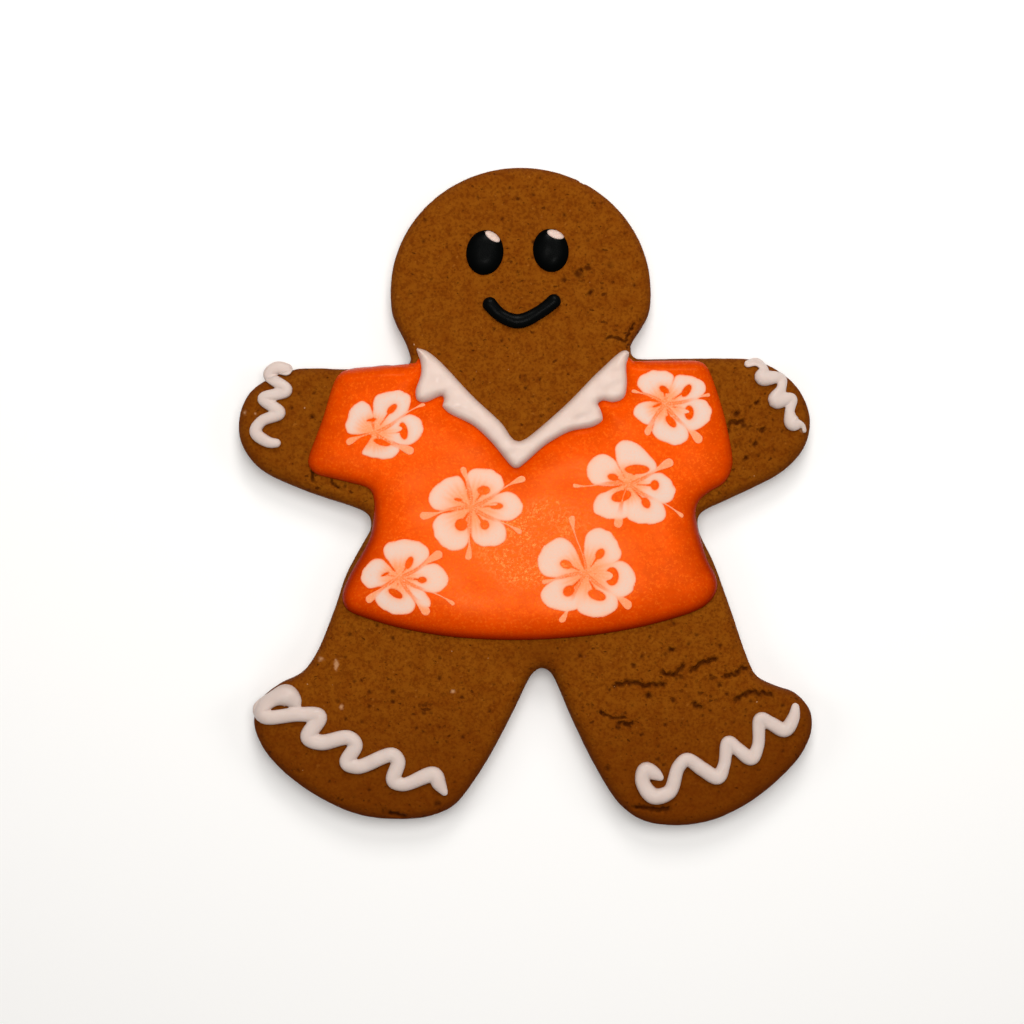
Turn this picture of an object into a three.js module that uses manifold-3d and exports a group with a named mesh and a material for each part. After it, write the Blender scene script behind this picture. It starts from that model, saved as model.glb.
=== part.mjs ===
// A gingerbread man cookie lying on its back: a cut and baked biscuit with a flooded icing shirt,
// a piped collar, piped zigzags at the wrists and feet, an icing face and six icing flowers.
// Millimetres, +Z up. The head points to +Y and the decorated face looks up.
import * as THREE from 'three';
import { ConvexGeometry } from 'three/addons/geometries/ConvexGeometry.js';
import { mergeVertices } from 'three/addons/utils/BufferGeometryUtils.js';
import Module from 'manifold-3d';

const wasm = await Module();
wasm.setup();

// Driving dimensions.
const COOKIE_THICKNESS = 7;
const COOKIE_EDGE = 2; // radius of the baked upper rim
const SHIRT_THICKNESS = 1.8;
const SHIRT_EDGE = 0.9;
const COLLAR_HEIGHT = 2.7; // above the biscuit, so it stands proud of the shirt
const COLLAR_EDGE = 0.5;
const PIPED_HEIGHT = 1.5; // of a white piped line above the biscuit
const SMILE_HEIGHT = 1.3;
const EYE_HEIGHT = 1.6;
const GLINT_HEIGHT = 0.5;
const FLOWER_HEIGHT = 0.3; // petals are almost level with the flooded shirt
const CLEARANCE = 0.3; // gap where the collar meets the shirt

// The round of the head, swept from its left side over the top to its right side, in degrees.
const HEAD = { x: -1, y: 39.6, across: 50.3, tall: 48, from: 188, to: -8, steps: 10 };
const OUTLINE_TURN = THREE.MathUtils.degToRad(9); // most an outline turns between two points
const OUTLINE_STEP = 9; // longest straight side of an outline
const OUTLINE_GAP = 0.9; // shortest side, so that a rounded rim fits inside every corner

const FINISH = {
  gingerbread: { color: 0x7c3e06, roughness: 0.85 },
  shirtIcing: { color: 0xf45500, roughness: 0.4 },
  whiteIcing: { color: 0xecd5c8, roughness: 0.5 },
  petalIcing: { color: 0xf6cdb6, roughness: 0.45 },
  blackIcing: { color: 0x08090a, roughness: 0.35 },
};

// Outline of the biscuit below the head, clockwise from the right side of the neck.
const BODY_OUTLINE = [
  // neck and right arm
  [22.4, 32.9], [20.3, 29.4], [20.8, 27], [26, 26.7], [37, 26.7], [44, 26.4], [49, 24.2],
  [52.9, 20.5], [54.9, 15.2], [54, 10], [50.2, 5.4], [42.5, 1.1], [36.5, -1.5],
  // right armpit, leg and foot
  [33.5, -3.6], [33.4, -6.4], [36.1, -12.3], [40.2, -23.5], [42.8, -31.1], [44.7, -34.8],
  [48.2, -36.7], [52.2, -38.2], [54.9, -41.3], [55.2, -45.2], [53.2, -49.8], [49.1, -54.4],
  [43, -59.2], [36, -62.5], [29, -63.5], [22.5, -62.5], [18.2, -59.4], [14.2, -53.3],
  [9.7, -44.4], [6.6, -37.2],
  // crotch, left foot and leg
  [4.8, -33.9], [3, -33.1], [1.2, -34.2], [-0.9, -38.3], [-6.2, -48.6], [-10.4, -55.4],
  [-13.9, -59.6], [-18.5, -61.7], [-25, -62.3], [-32, -61.5], [-39.2, -58.5], [-45.8, -54],
  [-50.6, -48.8], [-52.5, -43.8], [-51.6, -39.8], [-48, -36.6], [-43.3, -34.1], [-40.6, -30.5],
  [-37.6, -23.6], [-35.1, -16], [-31.8, -9.5],
  // left armpit, arm and neck
  [-29.9, -5.8], [-30.6, -3.3], [-38.5, -0.2], [-47, 3], [-52.2, 6.2], [-55.1, 10.8],
  [-55.3, 15.6], [-53.4, 20], [-49.8, 22.7], [-44, 24.7], [-34.5, 24.6], [-28, 25.4],
  [-22.4, 25.8], [-22.9, 29.2], [-24.8, 33],
];

// The flooded shirt, clockwise from the left shoulder; its neckline runs under the collar.
const SHIRT_OUTLINE = [
  [-36.3, 23.2], [-34.6, 24.5], [-31.4, 25.1], [-26, 25.4], [-18.4, 25.5], [-17.2, 24.6],
  [-9, 15.6], [-2.6, 9.4], [-1.8, 8.9], [-1, 9.3], [6, 14.6], [17.6, 24.8], [19.4, 25.9],
  [27, 26.1], [33.4, 26.1], [34.8, 25.1], [37.1, 19.1], [38.5, 14.5], [39.6, 9], [39.7, 5.8],
  [38.3, 2.8], [35.2, 0.8], [33.3, -0.9], [32.7, -3.4], [33.4, -6.5], [34.9, -12],
  [36.6, -15.3], [36.8, -17.9], [34.6, -20.9], [28, -23.6], [19, -25.7], [9, -27.1],
  [-1.3, -27.6], [-12, -27.2], [-22, -25.8], [-30, -23.6], [-34.4, -21.7], [-35.4, -19.2],
  [-34.3, -15.8], [-31.9, -11.5], [-30, -7.6], [-29.4, -4], [-29.2, -1.1], [-30, 1.3],
  [-33, 2.5], [-37.3, 3.5], [-40.6, 4.5], [-41.9, 6.3], [-41.2, 9.5], [-39.2, 14.8],
];

// The piped collar: its outer edge from the left neck round both lapels, then its inner edge back.
const COLLAR_OUTLINE = [
  [-21, 28.5], [-20.3, 26], [-20.3, 23.5], [-21.3, 20.2], [-20.9, 18.4], [-19.5, 18],
  [-15.4, 19.3], [-16.2, 17.6], [-15.2, 16.2], [-9.8, 13.3], [-5.2, 8.7], [-3.1, 6],
  [-1.9, 5.3], [-0.6, 6], [3.7, 9.7], [8.5, 12.4], [13.1, 13.4], [14.9, 14.7], [14.5, 16.7],
  [13.9, 18.3], [16.9, 18], [18.9, 18.9], [19.5, 21], [19.4, 25.3], [19.8, 28.7],
  [18.1, 27.5], [14.2, 24.3], [8.5, 18.5], [2.7, 13.2], [-1.7, 10.7], [-5, 14.5],
  [-10.8, 19.9], [-16.4, 25.9], [-19.2, 28.1],
];

// Piped lines: where the line turns or changes width, as x, y and half its width there.
const PIPED_LINES = {
  cuff_left: [
    [-45, 23.9, 0.9], [-48, 24.8, 1.1], [-49.6, 23.5, 1], [-46, 20.4, 1.1], [-50.5, 18.8, 1],
    [-47.3, 16.1, 1.1], [-50.8, 14.4, 1], [-51.9, 12.4, 1.1], [-49.6, 10.5, 1], [-47, 10.2, 0.7],
  ],
  cuff_right: [
    [42.1, 25.3, 0.6], [44.6, 25.9, 0.8], [45.9, 24.6, 0.8], [45.5, 22.9, 1.4], [49.3, 22.8, 0.9],
    [49.2, 20.8, 0.9], [48.2, 18.5, 1.5], [51.3, 18.8, 0.9], [50.8, 16.2, 0.9], [51.4, 14.1, 1.4],
    [53.3, 13.6, 0.5], [53.8, 12.2, 0.4],
  ],
  foot_zigzag_left: [
    [-45.2, -37.4, 1.5], [-48.3, -38.5, 1.3], [-51.2, -41.2, 1.4], [-50, -42.4, 1.3],
    [-43.5, -41.9, 1.3], [-39.7, -42.4, 1.4], [-41.8, -46.3, 1.4], [-39.3, -47.3, 1.4],
    [-34, -46.4, 1.3], [-32.7, -47.8, 1.3], [-34.4, -51.2, 1.3], [-32.3, -52, 1.3],
    [-25.6, -49.7, 1.3], [-24.5, -51, 1.3], [-25.4, -54.6, 1.3], [-23.5, -55.4, 1.2],
    [-17.6, -53.5, 1.1], [-16.7, -55.3, 1.1], [-15.4, -57.6, 0.6],
  ],
  foot_zigzag_right: [
    [25.8, -53.6, 0.6], [23.3, -52.3, 1.3], [22.8, -54.8, 1.4], [24.6, -57.6, 1.5],
    [27.7, -56.8, 1.3], [29.4, -52.1, 1.2], [31, -50.6, 1.2], [34.1, -52.5, 1.3],
    [37, -54, 1.3], [38.2, -51.6, 1.1], [39, -47.3, 1.2], [40.8, -48.6, 1.2],
    [43.4, -50.3, 1.3], [44.7, -48, 1.1], [45.2, -42.8, 1.2], [47.1, -43.6, 1.2],
    [49.9, -44.9, 1.3], [51.5, -42.6, 1.1], [52, -39.7, 0.6],
  ],
};
const SMILE_LINE = [
  [-7.5, 37.8, 1.1], [-4.6, 34.7, 1.1], [-1.3, 33.6, 1.1], [2.7, 35.6, 1.1], [6.1, 38.1, 1],
];

const EYES = {
  left: { x: -7.9, y: 47, width: 7.2, height: 8.7, turn: -8, glint: [1.5, 3, 3.3, 1.6, -35] },
  right: { x: 4.8, y: 47.4, width: 6.9, height: 8.4, turn: 8, glint: [0.9, 3, 3.4, 1.7, -20] },
};

// Flowers: the hub, each petal as [angle, reach, width, tilt of its outer edge] and each stamen
// as [angle, length, width of the drop at its end].
const FLOWERS = [
  {
    hub: [-29.1, 12.2],
    petals: [[138, 6.2, 6.6, -0.3], [59, 9.4, 6.4, -0.5], [5, 9.4, 5.6, 0.2], [-70, 5.2, 6.8, 0.4]],
    stamens: [[200, 5.7, 1.3], [-28, 8.4, 1.6], [30, 11.2, 0.7]],
  },
  {
    hub: [26.7, 17.8],
    petals: [
      [113, 6.8, 6.8, 0.2], [36, 8, 5.8, -0.5], [-20, 9, 6.2, 0.2], [-80, 7.9, 6.6, 0.4],
      [-151, 6, 4.8, -0.3],
    ],
    stamens: [[-123, 7, 1.3], [-48, 10.1, 1.7], [10, 8.8, 0.7], [157, 6.9, 0.7]],
  },
  {
    hub: [-10.4, -2],
    petals: [
      [150, 8, 7.6, 0.3], [63, 8, 7.2, -0.2], [1, 9.7, 5.4, 0], [-57, 8.8, 6.3, 0.3],
      [-130, 9.3, 7.6, 0.1],
    ],
    stamens: [[101, 7.9, 1.2], [29, 11.7, 1.3], [-28, 10.8, 1], [-95, 10.2, 1.3], [189, 10.1, 1.5]],
  },
  {
    hub: [19.6, 2.4],
    petals: [
      [152, 8.5, 6, 0], [72, 7.6, 8.6, 0.4], [-7, 9, 5.6, -0.3], [-58, 9, 7, 0.5],
      [-124, 7.8, 7, -0.4],
    ],
    stamens: [[26, 9.7, 1.7], [-30, 12.3, 0.8], [-106, 8.6, 1.7], [181, 10.6, 0.8]],
  },
  {
    hub: [-24.2, -15.5],
    petals: [[76, 7.4, 8.6, -0.2], [170, 7.2, 5.6, 0.3], [-101, 7, 7.7, 0.1], [-1, 9.2, 5.4, -0.1]],
    stamens: [[29, 9.4, 1.7], [-26, 11.7, 0.8], [-54, 9, 1.7], [214, 7.9, 1.5]],
  },
  {
    hub: [11.5, -14.7],
    petals: [
      [152, 9.6, 8, 0.1], [57, 9, 7.6, 0.2], [-10, 9.6, 6.8, -0.1], [-69, 8.9, 7.8, 0.2],
      [-136, 9.5, 7.2, -0.4],
    ],
    stamens: [[104, 11.4, 1.2], [-38, 10.9, 1.7], [-118, 10.6, 1.2], [190, 8.6, 0.9]],
  },
];

/** Closed smooth curve through the knots, thinned to the points that its bends need. */
function smoothOutline(knots) {
  const curve = new THREE.CatmullRomCurve3(knots.map(([x, y]) => new THREE.Vector3(x, y, 0)), true);
  const fine = curve.getPoints(knots.length * 8).slice(0, -1);
  const kept = [fine[0]];
  let turned = 0;
  for (let i = 1; i < fine.length - 1; i += 1) {
    const into = fine[i].clone().sub(fine[i - 1]);
    const out = fine[i + 1].clone().sub(fine[i]);
    turned += into.angleTo(out);
    const run = fine[i].distanceTo(kept.at(-1));
    if ((turned > OUTLINE_TURN && run > OUTLINE_GAP) || run > OUTLINE_STEP) {
      kept.push(fine[i]);
      turned = 0;
    }
  }
  if (kept.at(-1).distanceTo(kept[0]) < OUTLINE_GAP) {
    kept.pop();
  }
  return kept.map(({ x, y }) => new THREE.Vector2(x, y));
}

/** The knots of the whole biscuit: the round of the head, then the body. */
function biscuitKnots() {
  const knots = [];
  for (let step = 0; step <= HEAD.steps; step += 1) {
    const sweep = THREE.MathUtils.lerp(HEAD.from, HEAD.to, step / HEAD.steps);
    const angle = THREE.MathUtils.degToRad(sweep);
    const x = HEAD.x + (HEAD.across / 2) * Math.cos(angle);
    const y = HEAD.y + (HEAD.tall / 2) * Math.sin(angle);
    knots.push([x, y]);
  }
  return [...knots, ...BODY_OUTLINE];
}

/** Outline moved outwards by a distance, point by point along its normals. */
function grown(outline, distance) {
  const direction = THREE.ShapeUtils.isClockWise(outline) ? 1 : -1;
  return outline.map((point, i) => {
    const before = outline.at(i - 1);
    const after = outline[(i + 1) % outline.length];
    const along = after.clone().sub(before).normalize();
    return new THREE.Vector2(-along.y, along.x).multiplyScalar(direction * distance).add(point);
  });
}

/** A geometry with its shared corners merged, as a solid that can be joined and cut. */
function solid(geometry) {
  const bare = geometry.clone();
  bare.deleteAttribute('normal');
  bare.deleteAttribute('uv');
  const merged = mergeVertices(bare, 1e-4);
  return new wasm.Manifold(new wasm.Mesh({
    numProp: 3,
    vertProperties: new Float32Array(merged.attributes.position.array),
    triVerts: new Uint32Array(merged.index.array),
  }));
}

/** A solid as a geometry that a mesh can hold. */
function geometryOf(body) {
  const { vertProperties, triVerts } = body.getMesh();
  const geometry = new THREE.BufferGeometry();
  geometry.setAttribute('position', new THREE.BufferAttribute(vertProperties, 3));
  geometry.setIndex(new THREE.BufferAttribute(triVerts, 1));
  geometry.computeVertexNormals();
  return geometry;
}

/** A flat-bottomed slab on z = 0 whose upper edge is rounded. */
function slab(outline, thickness, edge, segments) {
  const geometry = new THREE.ExtrudeGeometry(new THREE.Shape(outline), {
    depth: thickness - edge,
    bevelThickness: edge,
    bevelSize: edge,
    bevelOffset: -edge,
    bevelSegments: segments,
  });
  const below = new THREE.BoxGeometry(400, 400, 10).translate(0, 0, -5);
  return solid(geometry).subtract(solid(below));
}

/** The points of one round blob of icing that stands on z = 0. */
function blobPoints(x, y, radius, height) {
  const rings = [[1, 0], [0.85, 0.6], [0.4, 1]];
  const sides = 6;
  return rings.flatMap(([reach, rise]) => Array.from({ length: sides }, (_, i) => {
    const angle = (i / sides) * 2 * Math.PI;
    const r = radius * reach;
    return new THREE.Vector3(x + r * Math.cos(angle), y + r * Math.sin(angle), rise * height);
  }));
}

/** A piped line: blobs of changing width along a smooth path, each drawn out to the next. */
function pipedLine(knots, height, stepsPerKnot) {
  const path = new THREE.CatmullRomCurve3(knots.map(([x, y, r]) => new THREE.Vector3(x, y, r)));
  const stops = path.getPoints((knots.length - 1) * stepsPerKnot);
  let line = null;
  for (let i = 1; i < stops.length; i += 1) {
    const ends = [stops[i - 1], stops[i]].flatMap((s) => blobPoints(s.x, s.y, s.z, height));
    const stroke = solid(new ConvexGeometry(ends));
    line = line ? line.add(stroke) : stroke;
  }
  return line;
}

/** A round cushion of icing of the given width and height across, standing on z = 0. */
function cushion(width, tall, height) {
  const profile = [[0, 0], [1, 0], [0.95, 0.5], [0.7, 1], [0, 1]];
  const points = profile.map(([r, z]) => new THREE.Vector2(r, z));
  const geometry = new THREE.LatheGeometry(points, 16).rotateX(Math.PI / 2);
  return geometry.scale(width / 2, tall / 2, height);
}

/** A flat piece of a flower, turned to its own angle round the hub. */
function flatPiece(shape, degrees) {
  const geometry = new THREE.ExtrudeGeometry(shape, {
    depth: FLOWER_HEIGHT,
    bevelEnabled: false,
    curveSegments: 8,
  });
  return solid(geometry.rotateZ(THREE.MathUtils.degToRad(degrees)));
}

/** One petal, widest two thirds of the way out, its outer edge tilted to one side. */
function petal([degrees, reach, width, tilt]) {
  const steps = 5;
  const side = (sign) => Array.from({ length: steps }, (_, i) => {
    const out = (i + 1) / (steps + 1);
    const across = sign * (width / 2) * Math.sin(Math.PI * out ** 1.5) ** 0.55;
    return new THREE.Vector2(reach * out + tilt * across * out ** 2, across);
  });
  const tip = new THREE.Vector2(reach, 0);
  const outline = [new THREE.Vector2(0, 0), ...side(-1), tip, ...side(1).reverse()];
  return flatPiece(new THREE.Shape(outline), degrees);
}

/** A thin stamen from the hub out to the drop at its end. */
function stamen([degrees, length, drop]) {
  const thin = 0.2;
  const open = Math.PI - Math.asin(thin / (drop / 2));
  const shape = new THREE.Shape();
  shape.moveTo(0, -thin);
  shape.absarc(length - drop / 2, 0, drop / 2, -open, open);
  shape.lineTo(0, thin);
  return flatPiece(shape, degrees);
}

/** A whole flower round its hub. */
function flower({ petals, stamens }) {
  const hub = new THREE.CylinderGeometry(1, 1, FLOWER_HEIGHT, 8).rotateX(Math.PI / 2);
  let whole = solid(hub.translate(0, 0, FLOWER_HEIGHT / 2));
  for (const piece of [...petals.map(petal), ...stamens.map(stamen)]) {
    whole = whole.add(piece);
  }
  return whole;
}

const model = new THREE.Group();

/** A named mesh of the model, in a finish of its own. */
function part(name, geometry, finish, position = [0, 0, 0], turn = 0) {
  const mesh = new THREE.Mesh(geometry, new THREE.MeshStandardMaterial({ ...finish, metalness: 0 }));
  mesh.name = name;
  mesh.position.set(...position);
  mesh.rotation.z = THREE.MathUtils.degToRad(turn);
  model.add(mesh);
}

// The biscuit.
const biscuit = slab(smoothOutline(biscuitKnots()), COOKIE_THICKNESS, COOKIE_EDGE, 3);
part('cookie', geometryOf(biscuit), FINISH.gingerbread);

// The collar, and the shirt cut round it.
const onBiscuit = [0, 0, COOKIE_THICKNESS];
const collarOutline = smoothOutline(COLLAR_OUTLINE);
part('collar', geometryOf(slab(collarOutline, COLLAR_HEIGHT, COLLAR_EDGE, 2)),
  FINISH.whiteIcing, onBiscuit);
const collarRoom = new THREE.ExtrudeGeometry(new THREE.Shape(grown(collarOutline, CLEARANCE)), {
  depth: 2 * COLLAR_HEIGHT,
  bevelEnabled: false,
}).translate(0, 0, -COLLAR_HEIGHT / 2);
const shirt = slab(smoothOutline(SHIRT_OUTLINE), SHIRT_THICKNESS, SHIRT_EDGE, 3);
part('shirt', geometryOf(shirt.subtract(solid(collarRoom))), FINISH.shirtIcing, onBiscuit);

// White piping at the wrists and feet.
for (const [name, knots] of Object.entries(PIPED_LINES)) {
  const stepsPerKnot = name.startsWith('cuff') ? 2 : 1;
  part(name, geometryOf(pipedLine(knots, PIPED_HEIGHT, stepsPerKnot)), FINISH.whiteIcing, onBiscuit);
}

// The face.
part('smile', geometryOf(pipedLine(SMILE_LINE, SMILE_HEIGHT, 2)), FINISH.blackIcing, onBiscuit);
for (const [side, eye] of Object.entries(EYES)) {
  const [dx, dy, width, tall, turn] = eye.glint;
  const onEye = [eye.x + dx, eye.y + dy, COOKIE_THICKNESS + EYE_HEIGHT];
  const ball = geometryOf(solid(cushion(eye.width, eye.height, EYE_HEIGHT)));
  const glint = geometryOf(solid(cushion(width, tall, GLINT_HEIGHT)));
  part(`eye_${side}`, ball, FINISH.blackIcing, [eye.x, eye.y, COOKIE_THICKNESS], eye.turn);
  part(`eye_glint_${side}`, glint, FINISH.whiteIcing, onEye, turn);
}

// The flowers on the shirt.
FLOWERS.forEach((design, i) => {
  const onShirt = [...design.hub, COOKIE_THICKNESS + SHIRT_THICKNESS];
  part(`flower_${i + 1}`, geometryOf(flower(design)), FINISH.petalIcing, onShirt);
});

// The origin is under the middle of the whole cookie, on the surface that it lies on.
const middle = new THREE.Box3().setFromObject(model).getCenter(new THREE.Vector3());
model.position.set(-middle.x, -middle.y, 0);

export default model;
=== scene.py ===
"""A gingerbread man cookie lying on its back, dressed in icing.

The biscuit, the flooded shirt, the piped collar and trim, the face and the flowers are each built
round the node of the same name, in metres, with the head towards +Y and the icing facing up.
"""
from __future__ import annotations

import logging
import math
from dataclasses import dataclass, field
from enum import Enum
from typing import Callable, Sequence, Union

import bmesh
import bpy
import numpy as np
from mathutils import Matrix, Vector
from mathutils.geometry import delaunay_2d_cdt


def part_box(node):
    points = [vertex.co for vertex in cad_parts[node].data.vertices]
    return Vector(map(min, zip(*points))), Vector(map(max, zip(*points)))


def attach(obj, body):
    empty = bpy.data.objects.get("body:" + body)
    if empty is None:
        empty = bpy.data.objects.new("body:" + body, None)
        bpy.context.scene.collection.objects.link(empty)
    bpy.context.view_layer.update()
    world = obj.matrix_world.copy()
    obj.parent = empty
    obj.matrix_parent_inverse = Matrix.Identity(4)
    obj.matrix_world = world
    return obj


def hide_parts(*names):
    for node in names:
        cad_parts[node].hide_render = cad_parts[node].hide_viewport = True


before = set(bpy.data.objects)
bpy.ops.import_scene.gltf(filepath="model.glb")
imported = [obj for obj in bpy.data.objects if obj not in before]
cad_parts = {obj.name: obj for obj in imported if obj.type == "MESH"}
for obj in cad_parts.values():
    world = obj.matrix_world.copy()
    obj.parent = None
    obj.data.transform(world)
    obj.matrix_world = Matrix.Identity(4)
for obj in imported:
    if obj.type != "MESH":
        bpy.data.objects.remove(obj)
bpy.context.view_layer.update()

LOG = logging.getLogger("gingerbread")
MM = 0.001
BODY = "root"

Colour = tuple[float, float, float, float]
Ground = Callable[[np.ndarray], np.ndarray]
Socket = bpy.types.NodeSocket
Source = Union[bpy.types.NodeSocket, float, Sequence[float]]


# ---------------------------------------------------------------- lines and surfaces


def smooth_line(knots: np.ndarray, spacing: float, closed: bool) -> np.ndarray:
    """Draws a smooth line through knots and walks along it in even steps.

    Args:
        knots: One row for each knot: x, y and any further values to carry along.
        spacing: Length of a step, in metres.
        closed: Whether the line returns to its first knot.

    Returns:
        One row for each step, with the same columns as the knots.
    """
    knots = np.asarray(knots, float)
    count = len(knots)
    if closed:
        padded = np.vstack([knots[-1], knots, knots[:2]])
        spans = count
    else:
        padded = np.vstack([2 * knots[0] - knots[1], knots, 2 * knots[-1] - knots[-2]])
        spans = count - 1
    steps = np.linspace(0, 1, 25)[:-1, None]
    pieces = []
    for i in range(spans):
        before, start, end, after = padded[i:i + 4]
        gaps = [math.sqrt(max(np.linalg.norm(b[:2] - a[:2]), 1e-9))
                for a, b in ((before, start), (start, end), (end, after))]
        leave = ((start - before) / gaps[0] - (end - before) / (gaps[0] + gaps[1])
                 + (end - start) / gaps[1]) * gaps[1]
        arrive = ((end - start) / gaps[1] - (after - start) / (gaps[1] + gaps[2])
                  + (after - end) / gaps[2]) * gaps[1]
        bend = 2 * start - 2 * end + leave + arrive
        swing = -3 * start + 3 * end - 2 * leave - arrive
        pieces.append(start + leave * steps + swing * steps ** 2 + bend * steps ** 3)
    pieces.append(knots[:1] if closed else knots[-1:])
    fine = np.vstack(pieces)
    run = travel(fine)
    total = max(int(round(run[-1] / spacing)), 4)
    stops = np.linspace(0, run[-1], total + 1)
    walked = np.column_stack([np.interp(stops, run, column) for column in fine.T])
    return walked[:-1] if closed else walked


def travel(line: np.ndarray) -> np.ndarray:
    """Distance along a line from its start to each of its corners."""
    steps = np.linalg.norm(np.diff(line[:, :2], axis=0), axis=1)
    return np.concatenate([[0], np.cumsum(steps)])


def line_distance(points: np.ndarray, line: np.ndarray) -> np.ndarray:
    """Distance of each point from an open line.

    Args:
        points: x and y of each point.
        line: x and y of each corner of the line.

    Returns:
        One distance for each point.
    """
    nearest = np.full(len(points), np.inf)
    for start, end in zip(line[:-1], line[1:]):
        along = end - start
        share = ((points - start) @ along / max(along @ along, 1e-18)).clip(0, 1)
        gap = np.linalg.norm(points - start - share[:, None] * along, axis=1)
        nearest = np.minimum(nearest, gap)
    return nearest


def ease(value: np.ndarray) -> np.ndarray:
    """Smooth step of a value that is cut to the range 0 to 1."""
    value = np.clip(value, 0, 1)
    return value * value * (3 - 2 * value)


@dataclass(frozen=True)
class Ripple:
    """Smooth unevenness: waves of about one length in many directions."""

    length: float
    height: float
    seed: int
    waves: int = 14
    spread: tuple[float, float] = (0.7, 1.5)

    def at(self, xy: np.ndarray) -> np.ndarray:
        """Height of the waves at each point.

        Args:
            xy: x and y of each point.

        Returns:
            One height for each point.
        """
        rng = np.random.default_rng(self.seed)
        turns = rng.uniform(0, 2 * math.pi, self.waves)
        phases = rng.uniform(0, 2 * math.pi, self.waves)
        pitches = 2 * math.pi / (self.length * rng.uniform(*self.spread, self.waves))
        total = np.zeros(len(xy))
        for turn, phase, pitch in zip(turns, phases, pitches):
            total += np.sin(pitch * (xy @ (math.cos(turn), math.sin(turn))) + phase)
        return self.height * total / math.sqrt(self.waves)


class Outline:
    """A closed line in the XY plane that runs counter-clockwise, in metres."""

    def __init__(self, points: np.ndarray) -> None:
        """Keeps the points, turned round if they run clockwise.

        Args:
            points: x and y of each point, in order.
        """
        x, y = points[:, 0], points[:, 1]
        area = np.sum(x * np.roll(y, -1) - np.roll(x, -1) * y)
        self.points = points if area > 0 else points[::-1].copy()

    @classmethod
    def of_node(cls, name: str, spacing: float) -> "Outline":
        """Reads the outline of a node's underside and smooths it.

        Args:
            name: The node.
            spacing: Length of a step along the result, in metres.

        Returns:
            The outline.
        """
        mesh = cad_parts[name].data
        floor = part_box(name)[0][2]
        keys: dict[tuple[int, int], int] = {}
        ends: dict[int, int] = {}
        flat = []
        for polygon in mesh.polygons:
            corners = [mesh.vertices[i].co for i in polygon.vertices]
            if all(corner.z < floor + 1e-6 for corner in corners):
                flat.append([keys.setdefault((round(c.x * 1e7), round(c.y * 1e7)), len(keys))
                             for c in corners])
        edges = {(tri[i], tri[(i + 1) % 3]) for tri in flat for i in range(3)}
        for a, b in edges:
            if (b, a) not in edges:
                ends[a] = b
        places = np.array(list(keys), float) / 1e7
        loops = []
        while ends:
            first, here = ends.popitem()
            loop = [first]
            while here != first:
                loop.append(here)
                here = ends.pop(here)
            loops.append(loop)
        return cls(smooth_line(places[max(loops, key=len)], spacing, closed=True))

    def normals(self) -> np.ndarray:
        """Outward direction at each point.

        Returns:
            One row for each point, of length 1.
        """
        along = np.roll(self.points, -1, axis=0) - np.roll(self.points, 1, axis=0)
        along /= np.linalg.norm(along, axis=1)[:, None]
        return np.column_stack([along[:, 1], -along[:, 0]])

    def depth(self, xy: np.ndarray) -> np.ndarray:
        """Distance of each point from the outline: above 0 inside and below 0 outside.

        Args:
            xy: x and y of each point.

        Returns:
            One distance for each point.
        """
        batch = 8000
        starts = self.points
        squares = (starts ** 2).sum(axis=1)
        nearest = np.empty(len(xy), int)
        for low in range(0, len(xy), batch):
            part = xy[low:low + batch]
            nearest[low:low + batch] = np.argmin(squares - 2 * part @ starts.T, axis=1)
        reach = np.full(len(xy), np.inf)
        for corner in (nearest - 1, nearest):
            start = starts[corner]
            along = starts[(corner + 1) % len(starts)] - start
            share = ((xy - start) * along).sum(axis=1) / (along ** 2).sum(axis=1)
            gap = xy - start - share.clip(0, 1)[:, None] * along
            reach = np.minimum(reach, np.hypot(*gap.T))
        outside = ((xy - starts[nearest]) * self.normals()[nearest]).sum(axis=1) > 0
        return np.where(outside, -reach, reach)

    def moved(self, outwards: np.ndarray | float) -> "Outline":
        """The outline with each point moved along its outward direction."""
        return Outline(self.points + self.normals() * np.reshape(outwards, (-1, 1)))

    def grid(self, spacing: float, margin: float) -> np.ndarray:
        """Points of a triangular grid that lie inside the outline.

        Args:
            spacing: Distance between neighbours, in metres.
            margin: How far inside the outline they stay.

        Returns:
            x and y of each point.
        """
        low, high = self.points.min(axis=0), self.points.max(axis=0)
        rows = np.arange(low[1], high[1], spacing * math.sqrt(0.75))
        columns = np.arange(low[0], high[0], spacing)
        x, y = np.meshgrid(columns, rows)
        x[1::2] += spacing / 2
        points = np.column_stack([x.ravel(), y.ravel()])
        return points[self.depth(points) > margin]


def triangulate(border: np.ndarray, inner: np.ndarray) -> tuple[np.ndarray, list, np.ndarray]:
    """Fills a border with triangles that use every given point.

    Args:
        border: x and y of the border's corners, in order.
        inner: x and y of the points inside it.

    Returns:
        The corners in use, the triangles, and where each border corner is among the corners.
    """
    count = len(border)
    scale = 1 / MM
    given = [Vector(point) for point in np.vstack([border, inner]) * scale]
    found = delaunay_2d_cdt(given, [], [list(range(count))], 1, 1e-5, True)
    corners = np.array([corner[:] for corner in found[0]]) / scale
    place = np.zeros(count, int)
    for index, sources in enumerate(found[3]):
        for source in sources:
            if source < count:
                place[source] = index
    faces = np.array([list(face) for face in found[2]])
    doubtful = np.isin(faces, place).all(axis=1)
    middles = corners[faces[doubtful]].mean(axis=1)
    kept = np.ones(len(faces), bool)
    kept[doubtful] = Outline(border).depth(middles) > 0
    return corners, faces[kept].tolist(), place


def add_object(name: str, data: bpy.types.ID) -> bpy.types.Object:
    """Makes an object of some data and links it to the scene.

    Args:
        name: Name of the object.
        data: What it shows.

    Returns:
        The object.
    """
    piece = bpy.data.objects.new(name, data)
    bpy.context.scene.collection.objects.link(piece)
    return piece


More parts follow.
